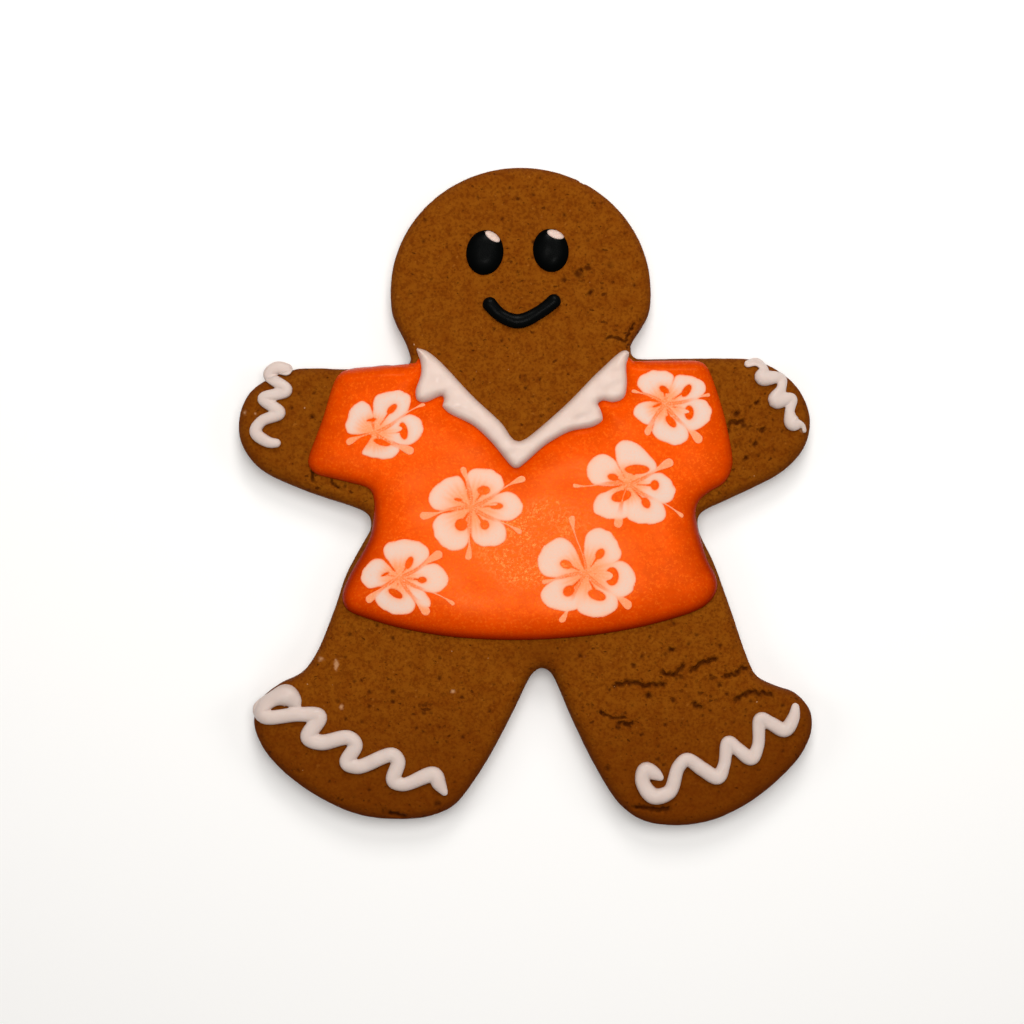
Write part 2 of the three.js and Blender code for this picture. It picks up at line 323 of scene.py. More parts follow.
def store(mesh: bpy.types.Mesh, key: str, values: np.ndarray) -> None:
    """Gives each corner of a mesh a named number or colour.

    Args:
        mesh: The mesh.
        key: The name.
        values: One number or one row of four for each corner.
    """
    if values.ndim == 2:
        layer = mesh.attributes.new(key, "FLOAT_COLOR", "POINT")
        layer.data.foreach_set("color", values.astype(np.float32).ravel())
    else:
        layer = mesh.attributes.new(key, "FLOAT", "POINT")
        layer.data.foreach_set("value", values.astype(np.float32))


def build_mesh(name: str, corners: np.ndarray, faces: Sequence[Sequence[int]],
               values: dict[str, np.ndarray] | None = None) -> bpy.types.Object:
    """Makes a smooth-shaded object whose faces all point outwards.

    Args:
        name: Name of the object.
        corners: Place of each corner, in metres.
        faces: Corners of each face.
        values: Named numbers, or colours, with one row for each corner.

    Returns:
        The object, linked to the scene.
    """
    mesh = bpy.data.meshes.new(name)
    mesh.from_pydata(corners.tolist(), [], faces)
    for key, data in (values or {}).items():
        store(mesh, key, data)
    shape = bmesh.new()
    shape.from_mesh(mesh)
    bmesh.ops.recalc_face_normals(shape, faces=shape.faces)
    shape.to_mesh(mesh)
    shape.free()
    mesh.shade_smooth()
    return add_object(name, mesh)


def close_body(name: str, top: np.ndarray, faces: list, rim: np.ndarray,
               rings: Sequence[np.ndarray], under: np.ndarray,
               values: dict[str, np.ndarray]) -> bpy.types.Object:
    """Adds a side wall and an underside to a triangulated top.

    Args:
        name: Name of the object.
        top: Corners of the top.
        faces: Triangles of the top.
        rim: The top's corners along its border, in order.
        rings: Further borders below it, each with as many corners.
        under: x and y of points inside the lowest border, for the underside.
        values: Named numbers of the top's corners; the wall takes those of the rim.

    Returns:
        The closed object.
    """
    count = len(rim)
    corners = [top]
    faces = list(faces)
    upper = rim
    total = len(top)
    for ring in rings:
        lower = np.arange(total, total + count)
        corners.append(ring)
        following = np.roll(upper, -1), np.roll(lower, -1)
        faces += np.column_stack([upper, lower, following[1], following[0]]).tolist()
        upper = lower
        total += count
    last = rings[-1]
    flat, flat_faces, place = triangulate(last[:, :2], under)
    index = np.full(len(flat), -1)
    index[place] = upper
    fresh = np.flatnonzero(index < 0)
    index[fresh] = np.arange(total, total + len(fresh))
    corners.append(np.column_stack([flat[fresh], np.full(len(fresh), last[:, 2].mean())]))
    faces += [[int(index[i]) for i in face] for face in flat_faces]
    whole = {key: np.concatenate([data] + [data[rim]] * len(rings) + [np.zeros(len(fresh))])
             for key, data in values.items()}
    return build_mesh(name, np.vstack(corners), faces, whole)


# ---------------------------------------------------------------- node trees


class Recipe:
    """A node tree under construction, for geometry or for a material."""

    def __init__(self, tree: bpy.types.NodeTree) -> None:
        """Keeps the tree."""
        self.tree = tree

    def add(self, kind: str, inputs: dict | None = None, **settings: object) -> bpy.types.Node:
        """Adds a node.

        Args:
            kind: Type of the node.
            inputs: Value or source socket of each input, by its identifier, name or number.
            settings: Settings of the node itself.

        Returns:
            The node.
        """
        node = self.tree.nodes.new(kind)
        for key, value in settings.items():
            setattr(node, key, value)
        for key, value in (inputs or {}).items():
            socket = self.find(node, key)
            if isinstance(value, bpy.types.NodeSocket):
                self.tree.links.new(value, socket)
            else:
                socket.default_value = value
        return node

    @staticmethod
    def find(node: bpy.types.Node, key: str | int) -> bpy.types.NodeSocket:
        """Finds an input of a node.

        Args:
            node: The node.
            key: The input's number, identifier or name.

        Returns:
            The input.
        """
        if isinstance(key, int):
            return node.inputs[key]
        matches = [socket for socket in node.inputs if socket.identifier == key]
        return (matches or [socket for socket in node.inputs if socket.name == key])[0]

    def math(self, operation: str, first: Source, second: Source = 0.0) -> Socket:
        """Result of one sum on two values."""
        return self.add("ShaderNodeMath", {0: first, 1: second}, operation=operation).outputs[0]

    def scaled(self, vector: Source, factor: Source) -> Socket:
        """A vector times a number."""
        node = self.add("ShaderNodeVectorMath", {0: vector, "Scale": factor}, operation="SCALE")
        return node.outputs[0]

    def span(self, value: Source, low: Source, high: Source, out_low: Source = 0.0,
             out_high: Source = 1.0) -> Socket:
        """A value carried smoothly from one range to another.

        Args:
            value: The value.
            low: Start of its range.
            high: End of its range.
            out_low: What the start becomes.
            out_high: What the end becomes.

        Returns:
            The result.
        """
        sources = {"Value": value, "From Min": low, "From Max": high,
                   "To Min": out_low, "To Max": out_high}
        node = self.add("ShaderNodeMapRange", sources, interpolation_type="SMOOTHSTEP")
        return node.outputs[0]


class Sculpt(Recipe):
    """A geometry node tree with named inputs, applied once to a piece."""

    def __init__(self, name: str, inputs: dict[str, tuple[str, object]]) -> None:
        """Makes the tree with its inputs.

        Args:
            name: Name of the tree.
            inputs: Socket type and value of each named input.
        """
        super().__init__(bpy.data.node_groups.new(name, "GeometryNodeTree"))
        face = self.tree.interface
        face.new_socket(name="Geometry", in_out="INPUT", socket_type="NodeSocketGeometry")
        face.new_socket(name="Geometry", in_out="OUTPUT", socket_type="NodeSocketGeometry")
        self.values = {key: value for key, (_, value) in inputs.items()}
        for key, (kind, _) in inputs.items():
            face.new_socket(name=key, in_out="INPUT", socket_type=kind)
        self.start = self.tree.nodes.new("NodeGroupInput")
        self.end = self.tree.nodes.new("NodeGroupOutput")

    def given(self, name: str) -> Socket:
        """The source of a named input."""
        return self.start.outputs[name]

    def mark(self, name: str) -> Socket:
        """A named number that the mesh carries."""
        return self.add("GeometryNodeInputNamedAttribute", {"Name": name},
                        data_type="FLOAT").outputs[0]

    def finish(self, geometry: Socket) -> None:
        """Realizes what the tree made, gives it its material and ends the tree.

        Args:
            geometry: What the tree made.
        """
        real = self.add("GeometryNodeRealizeInstances", {"Geometry": geometry})
        dressed = self.add("GeometryNodeSetMaterial", {"Geometry": real.outputs[0],
                                                       "Material": self.given("Material")})
        self.tree.links.new(dressed.outputs[0], self.end.inputs[0])

    def apply(self, piece: bpy.types.Object, voxel: float = 0.0) -> bpy.types.Object:
        """Runs the tree on a piece and keeps the result as a plain mesh.

        Args:
            piece: The object to work on, which is replaced.
            voxel: If above 0, the result is fused into one skin at this step, in metres.

        Returns:
            The finished object.
        """
        modifier = piece.modifiers.new(self.tree.name, "NODES")
        modifier.node_group = self.tree
        for item in self.tree.interface.items_tree:
            if item.in_out == "INPUT" and item.name in self.values:
                modifier[item.identifier] = self.values[item.name]
        if voxel > 0:
            fuse = piece.modifiers.new("Fuse", "REMESH")
            fuse.mode = "VOXEL"
            fuse.voxel_size = voxel
            fuse.use_smooth_shade = True
            relax = piece.modifiers.new("Relax", "SMOOTH")
            relax.factor = 0.5
            relax.iterations = 3
        name = piece.name
        graph = bpy.context.evaluated_depsgraph_get()
        mesh = bpy.data.meshes.new_from_object(piece.evaluated_get(graph), depsgraph=graph,
                                               preserve_all_data_layers=True)
        bpy.data.objects.remove(piece)
        mesh.name = name
        mesh.shade_smooth()
        return add_object(name, mesh)


# ---------------------------------------------------------------- finishes


def linear(red: int, green: int, blue: int) -> Colour:
    """A colour as the shaders take it.

    Args:
        red: Its red, from 0 to 255.
        green: Its green.
        blue: Its blue.

    Returns:
        Red, green and blue as shares of light, and a full alpha.
    """
    shares = [value / 255 for value in (red, green, blue)]
    bright = [s / 12.92 if s <= 0.04045 else ((s + 0.055) / 1.055) ** 2.4 for s in shares]
    return (*bright, 1.0)


class Shade(Recipe):
    """A material under construction."""

    def __init__(self, name: str) -> None:
        """Makes an empty material with its output and its main shader.

        Args:
            name: Name of the material.
        """
        self.material = bpy.data.materials.new(name)
        self.material.use_nodes = True
        super().__init__(self.material.node_tree)
        self.tree.nodes.clear()
        self.shader = self.tree.nodes.new("ShaderNodeBsdfPrincipled")
        output = self.tree.nodes.new("ShaderNodeOutputMaterial")
        self.tree.links.new(self.shader.outputs[0], output.inputs[0])
        self.place = self.tree.nodes.new("ShaderNodeTexCoord").outputs["Object"]

    def set(self, **values: object) -> None:
        """Sets inputs of the main shader: underscores stand for spaces."""
        for key, value in values.items():
            socket = self.shader.inputs[key.replace("_", " ")]
            if isinstance(value, bpy.types.NodeSocket):
                self.tree.links.new(value, socket)
            else:
                socket.default_value = value

    def noise(self, length: float, detail: float = 3.0, roughness: float = 0.6) -> Socket:
        """Cloudy noise of about one length.

        Args:
            length: The length, in metres.
            detail: How many finer layers it has.
            roughness: How strong the finer layers are.

        Returns:
            The noise, from 0 to 1.
        """
        inputs = {"Vector": self.place, "Scale": 1 / length, "Detail": detail,
                  "Roughness": roughness}
        return self.add("ShaderNodeTexNoise", inputs).outputs[0]

    def mark(self, name: str) -> Socket:
        """A named number that the mesh carries."""
        return self.add("ShaderNodeAttribute", attribute_name=name).outputs["Fac"]

    def mix(self, share: Source, first: Source, second: Source, blend: str = "MIX") -> Socket:
        """Two colours mixed.

        Args:
            share: How much of the second there is.
            first: The first colour.
            second: The second colour.
            blend: How the second is laid on the first.

        Returns:
            The colour.
        """
        node = self.add("ShaderNodeMix", {"Factor_Float": share, "A_Color": first,
                                          "B_Color": second}, data_type="RGBA", blend_type=blend)
        return node.outputs[2]

    def bump(self, height: Source, depth: float, under: Socket | None = None) -> Socket:
        """A surface roughened by a height from 0 to 1.

        Args:
            height: The height.
            depth: What a height of 1 stands for, in metres.
            under: A bump to add to.

        Returns:
            The normal.
        """
        inputs = {"Height": height, "Distance": depth, "Strength": 1.0}
        if under is not None:
            inputs["Normal"] = under
        return self.add("ShaderNodeBump", inputs).outputs[0]


@dataclass(frozen=True)
class Gingerbread:
    """Baked gingerbread: matt brown crumb with pores and low spots darkened by painted shade, and
    browner edges, arms and feet, partly from baking and partly painted shade.

    The sizes are those of the pattern, in metres. The shares say how strongly the pores and the
    flour cover the crumb, and the depths how far it rises and falls.
    """

    light: Colour = linear(131, 71, 9)
    dark: Colour = linear(117, 57, 4)
    # painted shade inside the pits, pores and cracks
    pit_shade: Colour = linear(60, 22, 1)
    # browned crust mixed with painted shade at the rim, towards the feet and arms and between the
    # legs
    baked: Colour = linear(92, 38, 1)
    fleck: Colour = linear(158, 96, 32)
    floury: Colour = linear(200, 152, 112)
    # painted shade, multiplied into the crumb where its noise is low
    hollow_shade: Colour = linear(226, 216, 205)
    cloud_size: float = 2.4 * MM
    crumb_size: float = 0.6 * MM
    fleck_size: float = 0.9 * MM
    lump_size: float = 1.4 * MM
    fleck_share: float = 0.4
    fine_share: float = 0.3
    wide_share: float = 0.7
    flour_share: float = 0.62
    lump_depth: float = 0.22 * MM
    crumb_depth: float = 0.08 * MM
    pore_depth: float = 0.1 * MM

    def make(self) -> bpy.types.Material:
        """Builds the material.

        Returns:
            The material.
        """
        shade = Shade("gingerbread")
        cloud = shade.span(shade.noise(self.cloud_size, 4), 0.25, 0.75)
        crumb = shade.noise(self.crumb_size, 3, 0.6)
        base = shade.mix(cloud, self.dark, self.light)
        # Painted shade in the crumb's low spots: the colour is multiplied by the hollow shade
        # where the crumb noise is low.
        shadow = shade.mix(1.0, base, self.hollow_shade, "MULTIPLY")
        base = shade.mix(shade.span(crumb, 0.36, 0.56), shadow, base)
        flecks = shade.span(shade.noise(self.fleck_size, 2), 0.66, 0.76, 0, self.fleck_share)
        base = shade.mix(flecks, base, self.fleck)
        # Partly baked crust and partly painted shade.
        base = shade.mix(shade.mark("bake_and_shade"), base, self.baked)
        fine, fine_depth = self.pores(shade, 0.95 * MM, widest=0.3, stretch=1.0)
        wide, wide_depth = self.pores(shade, 2.3 * MM, widest=0.24, stretch=1.9)
        # Painted shade in the pores and cracks: the crumb is darkened towards the pit colour.
        marks = (shade.mark("pore_shade"), shade.mark("crack"),
                 shade.math("MULTIPLY", fine, self.fine_share),
                 shade.math("MULTIPLY", wide, self.wide_share))
        pit_shading = marks[0]
        for mark in marks[1:]:
            pit_shading = shade.math("MAXIMUM", pit_shading, mark)
        base = shade.mix(shade.math("MINIMUM", pit_shading, 1.0), base, self.pit_shade)
        dust = shade.math("MULTIPLY", shade.mark("flour"), self.flour_share)
        base = shade.mix(dust, base, self.floury)
        relief = shade.bump(shade.noise(self.lump_size, 2), self.lump_depth)
        relief = shade.bump(crumb, self.crumb_depth, relief)
        for depth in (fine_depth, wide_depth):
            relief = shade.bump(depth, self.pore_depth, relief)
        shade.set(Base_Color=base, Roughness=0.9, Normal=relief, Specular_IOR_Level=0.06)
        return shade.material

    @staticmethod
    def pores(shade: Shade, spacing: float, widest: float,
              stretch: float) -> tuple[Socket, Socket]:
        """Ragged little holes, few of them large, and larger where the crumb has broken.

        Args:
            shade: The material.
            spacing: Distance between holes, in metres.
            widest: Radius of the largest, as a share of the spacing.
            stretch: How many times wider than high they are.

        Returns:
            How much of a hole there is, and the height of the surface, each from 0 to 1.
        """
        warp = shade.add("ShaderNodeTexNoise", {"Vector": shade.place, "Scale": 1.6 / spacing,
                                                "Detail": 2.0}).outputs["Color"]
        bent = shade.add("ShaderNodeVectorMath", {0: shade.scaled(warp, 0.7 * spacing),
                                                  1: shade.place}, operation="ADD").outputs[0]
        flat = shade.add("ShaderNodeVectorMath", {0: bent, 1: (1.0, stretch, 1.0)},
                         operation="MULTIPLY").outputs[0]
        cells = shade.add("ShaderNodeTexVoronoi", {"Vector": flat, "Scale": 1 / spacing})
        chance = shade.add("ShaderNodeSeparateColor", {"Color": cells.outputs["Color"]})
        share = shade.math("POWER", chance.outputs[0], 2.2)
        broken = shade.math("ADD", shade.mark("crumbly"), 1.0)
        share = shade.math("MULTIPLY", share, broken)
        radius = shade.math("MAXIMUM", shade.math("MULTIPLY", share, widest), 0.001)
        hole = shade.span(cells.outputs["Distance"], radius,
                          shade.math("MULTIPLY", radius, 0.4))
        return hole, shade.math("SUBTRACT", 1.0, hole)


@dataclass(frozen=True)
class Icing:
    """Set royal icing: smooth, satin, and faintly uneven.

    The rim's colour is painted shade at the edge, stronger towards the feet. The speckles are
    mixed in by the grain, whose height is in millimetres, and grainy is their share. The colour is
    multiplied by a painted falloff of the light where it lies further than far from the heart,
    and not at all where it lies nearer than near. Stained icing takes its colour from the mesh.
    """

    name: str
    base: Colour
    # painted shade that the edge takes
    rim: Colour
    gloss: float = 0.42
    speckle: Colour | None = None
    shade_speckle: Colour | None = None
    specular: float = 0.14
    grain: float = 0.003
    inner_glow: float = 0.1
    coat: float = 0.1
    coat_roughness: float = 0.15
    grains: float = 0.34 * MM
    grainy: float = 0.55
    sheen: Colour = (1.0, 1.0, 1.0, 1.0)
    # painted falloff of the light, multiplied in far from the heart
    falloff_shade: Colour = (1.0, 1.0, 1.0, 1.0)
    heart: tuple[float, float, float] = (0.0, 25 * MM, 8 * MM)
    near: float = 26 * MM
    far: float = 48 * MM
    stained: bool = False
    head_end: float = 22 * MM
    foot_end: float = -12 * MM

    def make(self) -> bpy.types.Material:
        """Builds the material.

        Returns:
            The material.
        """
        shade = Shade(self.name)
        fine = shade.noise(self.grains, 2, 0.65)
        if self.stained:
            base = shade.add("ShaderNodeAttribute", attribute_name="stain").outputs["Color"]
        else:
            cloud = shade.span(shade.noise(2.6 * MM, 4), 0.3, 0.7, 0, 0.22)
            base = shade.mix(cloud, self.base, self.rim)
        if self.speckle:
            base = shade.mix(shade.span(fine, 0.48, 0.7, 0, self.grainy), base, self.speckle)
        if self.shade_speckle:
            grit = shade.noise(0.75 * MM, 3, 0.7)
            grit = shade.span(grit, 0.5, 0.7, 0, self.grainy)
            base = shade.mix(grit, base, self.shade_speckle)
        # Painted shade at the edge, stronger towards the feet.
        up = shade.add("ShaderNodeSeparateXYZ", {0: shade.place}).outputs[1]
        footwards = shade.span(up, self.head_end, self.foot_end, 0.4, 1)
        shaded = shade.math("MULTIPLY", shade.mark("edge"), footwards)
        base = shade.mix(shaded, base, self.rim)
        # Painted falloff of the light: the colour is multiplied away from the heart.
        away = shade.add("ShaderNodeVectorMath", {0: shade.place, 1: self.heart},
                         operation="DISTANCE").outputs["Value"]
        falloff_mask = shade.span(away, self.near, self.far)
        base = shade.mix(falloff_mask, base, shade.mix(1.0, base, self.falloff_shade, "MULTIPLY"))
        gloss = shade.span(fine, 0.3, 0.7, self.gloss - 0.05, self.gloss + 0.08)
        shade.set(Base_Color=base, Roughness=gloss, Normal=shade.bump(fine, self.grain * MM))
        sheen = shade.span(shade.mark("edge"), 0.15, 0.7, self.specular, 0.2 * self.specular)
        shade.set(Specular_IOR_Level=sheen, Specular_Tint=self.sheen)
        shade.set(Subsurface_Weight=self.inner_glow, Subsurface_Radius=(1.0, 0.6, 0.4),
                  Subsurface_Scale=0.5 * MM)
        shade.set(Coat_Weight=self.coat, Coat_Roughness=self.coat_roughness)
        return shade.material


class Finish(Enum):
    """The finishes of the cookie, named as the record's material slots are."""

    GINGERBREAD = "gingerbread"
    SHIRT = "shirt_icing"
    WHITE = "white_icing"
    PETAL = "petal_icing"
    BLACK = "black_icing"


RECIPES = {
    Finish.GINGERBREAD: Gingerbread(),
    Finish.SHIRT: Icing("shirt_icing", linear(243, 80, 0), linear(150, 30, 0), 0.21,
                        speckle=linear(254, 108, 18), shade_speckle=linear(226, 66, 0),
                        specular=0.19, grain=0.0035, grains=0.5 * MM, grainy=0.6,
                        inner_glow=0.02, coat=0.0,
                        sheen=linear(255, 190, 108), falloff_shade=(0.85, 0.85, 0.6, 1.0),
                        heart=(0.0, 8 * MM, 8 * MM), near=26 * MM, far=40 * MM),
    Finish.WHITE: Icing("white_icing", linear(221, 199, 188), linear(204, 176, 163), 0.5,
                        inner_glow=0.15, falloff_shade=(0.88, 0.92, 0.95, 1.0)),
    Finish.PETAL: Icing("petal_icing", linear(240, 205, 190), linear(240, 205, 190),
                        inner_glow=0.05, speckle=linear(246, 178, 140), specular=0.08,
                        coat=0.0, falloff_shade=(0.93, 1.02, 1.1, 1.0), near=18 * MM,
                        far=32 * MM, heart=(0.0, -8 * MM, 8 * MM), stained=True),
    Finish.BLACK: Icing("black_icing", linear(6, 7, 7), linear(2, 2, 2), 0.36, specular=0.05,
                        grain=0.001, inner_glow=0.0, coat=0.03, coat_roughness=0.28),
}


class Pantry:
    """Holds each finish once it is made."""

    def __init__(self) -> None:
        """Starts empty."""
        self.made: dict[Finish, bpy.types.Material] = {}

    def get(self, finish: Finish) -> bpy.types.Material:
        """The material of a finish, made when it is first asked for.

        Args:
            finish: The finish.

        Returns:
            The material.
        """
        if finish not in self.made:
            self.made[finish] = RECIPES[finish].make()
        return self.made[finish]

    def dress(self, piece: bpy.types.Object, finish: Finish, *nodes: str) -> None:
        """Gives a piece its finish and its body, and hides the nodes that it replaces.

        Args:
            piece: The finished object.
            finish: Its finish.
            nodes: The nodes that it replaces.
        """
        piece.data.materials.clear()
        piece.data.materials.append(self.get(finish))
        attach(piece, BODY)
        if nodes:
            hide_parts(*nodes)
        LOG.info("%s: %d corners", piece.name, len(piece.data.vertices))


# ---------------------------------------------------------------- the biscuit


@dataclass(frozen=True)
class Crack:
    """A crack in the baked top: its course in millimetres, and its half width and depth."""

    course: tuple[tuple[float, float], ...]
    width: float = 0.4
    depth: float = 0.65

    def line(self) -> np.ndarray:
        """The crack's smooth course with a slight jitter.

        Returns:
            x and y of each step, in metres.
        """
        walked = smooth_line(np.array(self.course) * MM, 0.25 * MM, closed=False)
        jitter = Ripple(1.7 * MM, 0.22 * MM, seed=int(abs(self.course[0][0] * 10)))
        return walked + np.column_stack([jitter.at(walked), jitter.at(walked[:, ::-1])])


CRACKS = (
    Crack(((17.1, -36.5), (20, -35.9), (23.2, -36.4), (26.5, -36.1))),
    Crack(((26.4, -33.8), (28.3, -34.5), (30.4, -32.6))),
    Crack(((31.8, -33.8), (34, -32), (36.6, -31.3)), 0.4, 0.7),
    Crack(((38.5, -34.7), (40.5, -34), (42.5, -33)), 0.4, 0.7),
    Crack(((40.2, -39.2), (43.7, -37.8), (47.3, -38.2)), 0.42, 0.7),
    Crack(((32.3, -39.6), (33.7, -40.9))),
    Crack(((17.9, -43.8), (20.8, -44))),
    Crack(((14.3, -41.5), (16.8, -42.6), (19.2, -42.5)), 0.28, 0.4),
    Crack(((21.4, -59.8), (23.9, -60.3), (27.7, -60.1)), 0.4, 0.7),
    Crack(((-26.2, -61), (-23.3, -61.5)), 0.4, 0.6),
    Crack(((15.6, 30.3), (17.6, 30.6), (19.2, 29.9), (21, 33.5)), 0.25, 0.35),
    Crack(((39.4, 13.9), (41.7, 14.3)), 0.4, 0.6),
    Crack(((-41, 4.6), (-40.9, 3.2)), 0.35, 0.6),
    Crack(((-36, 1.6), (-37.6, 3.2)), 0.26, 0.4),
    Crack(((23.4, -38.5), (23.9, -38.2)), 0.45, 0.7),
    Crack(((27.6, -29.8), (28, -29.7)), 0.4, 0.6),
    Crack(((12.2, 39), (12.6, 39.2)), 0.35, 0.5),
    Crack(((10.7, 43.3), (11, 43.5)), 0.35, 0.5),
    Crack(((40.6, 16), (41, 16.1)), 0.36, 0.6),
    Crack(((44.3, 17.7), (44.7, 17.8)), 0.36, 0.6),
    Crack(((45.5, 12.6), (45.8, 12.9)), 0.36, 0.6),
    Crack(((44.3, 9.8), (44.6, 10)), 0.34, 0.5),
    Crack(((42.2, 7.1), (42.6, 7.3)), 0.34, 0.5),
    Crack(((-41.3, 15.2), (-41, 15.4)), 0.34, 0.5),
)


@dataclass
class Biscuit:
    """The cut and baked gingerbread, with a rounded upper edge and a flat underside.

    Fine, coarse and step are the distances between the mesh's corners where the top shows, where
    it is hidden and along the outline. Beside says how far from a crack's middle its corners lie,
    in millimetres. Broken and flour are spots: middle, half width and half height, in millimetres.
    Wall gives how far down each ring of the side wall lies, as a share, and how far in, in
    millimetres.
    """

    rim_across: float = 2.7 * MM
    rim_drop: float = 2.1 * MM
    fine: float = 0.34 * MM
    coarse: float = 1.3 * MM
    step: float = 0.42 * MM
    lumps: Ripple = Ripple(11 * MM, 0.1 * MM, seed=4)
    dents: Ripple = Ripple(3.6 * MM, 0.035 * MM, seed=9)
    broken: tuple = ((33, -36, 13, 6), (41, 12, 6, 6), (11.5, 41, 4, 5), (19.5, 31, 4, 4),
                     (24, -60.5, 6, 2), (-25, -61, 5, 2), (-37, 2.5, 4, 3), (17, -43, 6, 3),
                     (-17, -40, 7, 4))
    flour: tuple = ((-36.4, -32.4, 0.5, 1.1), (-39.4, -31.3, 0.5, 0.4), (-35.4, -40.5, 0.4, 0.6),
                    (-14, -37.5, 0.4, 0.4), (-54.1, 16.2, 0.4, 0.4), (-52, 15.9, 0.3, 0.3),
                    (53.5, 13, 0.6, 0.8))
    # painted shade between the legs below the shirt: middle, half width and half height, in mm
    crotch_shade_spot: tuple = (3.5, -30.5, 7, 4)
    beside: tuple = (-0.44, -0.28, -0.12, 0.0, 0.12, 0.28, 0.44)
    wall: tuple = ((0.2, 0.0), (0.36, -0.1), (0.52, -0.15), (0.66, -0.15), (0.79, -0.1),
                   (0.9, 0.0), (0.97, 0.12), (1.0, 0.32))
    outline: Outline = field(init=False)
    measure: Outline = field(init=False)
    top: float = field(init=False)

    def __post_init__(self) -> None:
        """Reads the size from the frame."""
        self.outline = Outline.of_node("cookie", self.step)
        self.measure = Outline(self.outline.points[::3])
        self.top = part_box("cookie")[1][2]

    def height(self, xy: np.ndarray, depth: np.ndarray | None = None,
               even: bool = False) -> np.ndarray:
        """Height of the smooth baked top at each point, before its pores and cracks.

        Args:
            xy: x and y of each point.
            depth: Distance inside the outline, if it is known already.
            even: Whether to leave out the lumps and dents, which runny icing fills.

        Returns:
            z of each point.
        """
        if depth is None:
            depth = self.measure.depth(xy)
        inwards = np.clip(depth / self.rim_across, 0, 1)
        drop = self.rim_drop * (1 - np.sqrt(1 - (1 - inwards) ** 2))
        uneven = np.zeros(len(xy)) if even else self.lumps.at(xy) + self.dents.at(xy)
        return self.top - drop + uneven * inwards

    def top_points(self, covered: Outline) -> np.ndarray:
        """Points for the top: close where it shows, wide apart under the shirt.

        Args:
            covered: Outline of what hides the top.

        Returns:
            x and y of each point.
        """
        shares = (0.03, 0.1, 0.2, 0.34, 0.5, 0.68, 0.87)
        rings = [self.outline.moved(-share * self.rim_across).points for share in shares]
        kept = [ring[self.measure.depth(ring) > 0.7 * share * self.rim_across]
                for ring, share in zip(rings, shares)]
        inner = self.outline.grid(self.fine, self.rim_across * 0.95)
        hidden = covered.depth(inner) > 1.0 * MM
        wide = covered.grid(self.coarse, 1.6 * MM)
        lines = [crack.line() for crack in CRACKS]
        near = np.min([line_distance(inner, line) for line in lines], axis=0) < 0.6 * MM
        kept += [inner[~hidden & ~near], wide]
        for line in lines:
            along = np.gradient(line, axis=0)
            along /= np.linalg.norm(along, axis=1)[:, None] + 1e-12
            aside = np.column_stack([-along[:, 1], along[:, 0]])
            kept += [line + aside * offset * MM for offset in self.beside]
        points = np.vstack(kept)
        return points[self.measure.depth(points) > 0.02 * self.rim_across]

    def build(self, covered: Outline, material: bpy.types.Material) -> bpy.types.Object:
        """Makes the biscuit.

        Args:
            covered: Outline of the shirt.
            material: The gingerbread.

        Returns:
            The finished object.
        """
        border = self.outline.points
        xy, faces, rim = triangulate(border, self.top_points(covered))
        depth = self.measure.depth(xy).clip(0, None)
        depth[rim] = 0
        z = self.height(xy, depth)
        # The crack mark is painted shade in the cracks.
        marks = {"crack": self.split(xy, z)}
        marks.update(self.stains(xy, depth, covered))
        edge_z = z[rim]
        rings = []
        for share, inset in self.wall:
            ring = self.outline.moved(-inset * MM).points
            rings.append(np.column_stack([ring, edge_z * (1 - share)]))
        under = self.outline.grid(self.coarse, 0.9 * MM)
        piece = close_body("gingerbread_biscuit", np.column_stack([xy, z]), faces, rim, rings,
                           under, marks)
        return self.relief(material).apply(piece)

    @staticmethod
    def split(xy: np.ndarray, z: np.ndarray) -> np.ndarray:
        """Splits the top open along its cracks.

        Args:
            xy: x and y of each point.
            z: Height of each point, which is changed.

        Returns:
            How much painted shade each point has along a crack, from 0 to 1.
        """
        dark = np.zeros(len(xy))
        ragged = 1 + 0.45 * np.tanh(Ripple(1.3 * MM, 1.0, seed=21).at(xy))
        for crack in CRACKS:
            gap = line_distance(xy, crack.line()) / (crack.width * MM * ragged)
            cut = np.exp(-gap ** 4)
            z -= crack.depth * MM * cut
            z += 0.05 * MM * np.exp(-(gap - 2.2) ** 2)
            # painted shade along the crack's middle
            dark = np.maximum(dark, np.exp(-(gap / 0.9) ** 4))
        return dark * (0.7 + 0.3 * ease(0.5 + Ripple(0.9 * MM, 0.6, seed=33).at(xy)))

    def stains(self, xy: np.ndarray, depth: np.ndarray, covered: Outline) -> dict[str, np.ndarray]:
        """What the oven and the flour have left on the top, with painted shade mixed into the
        browning.

        Args:
            xy: x and y of each point.
            depth: Distance of each inside the outline.
            covered: Outline of the shirt.

        Returns:
            How baked and shaded, crumbly and floury each point is and whether it is bare, from 0
            to 1.
        """
        # Browning partly from the oven and partly painted shade: darker at the rim, towards the
        # feet, out along the arms and between the legs.
        edge = 1 - ease(depth / (1.8 * MM))
        bake_and_shade = 0.3 * edge + 0.7 * ease((-30 * MM - xy[:, 1]) / (34 * MM))
        bake_and_shade += 0.25 * ease((np.abs(xy[:, 0]) - 38 * MM) / (14 * MM))
        bake_and_shade = (bake_and_shade + 0.45 * self.patch(xy, self.crotch_shade_spot)).clip(0, 1)
        crumbly = np.max([self.patch(xy, zone) for zone in self.broken], axis=0)
        dust = Ripple(0.8 * MM, 0.5, seed=5).at(xy)
        flour = np.max([self.patch(xy, spot) for spot in self.flour], axis=0)
        flour = ease(2.2 * flour - 0.7 + 0.6 * dust)
        bare = ease(-covered.depth(xy) / MM - 0.5)
        return {"bake_and_shade": bake_and_shade, "crumbly": crumbly, "flour": flour, "bare": bare}

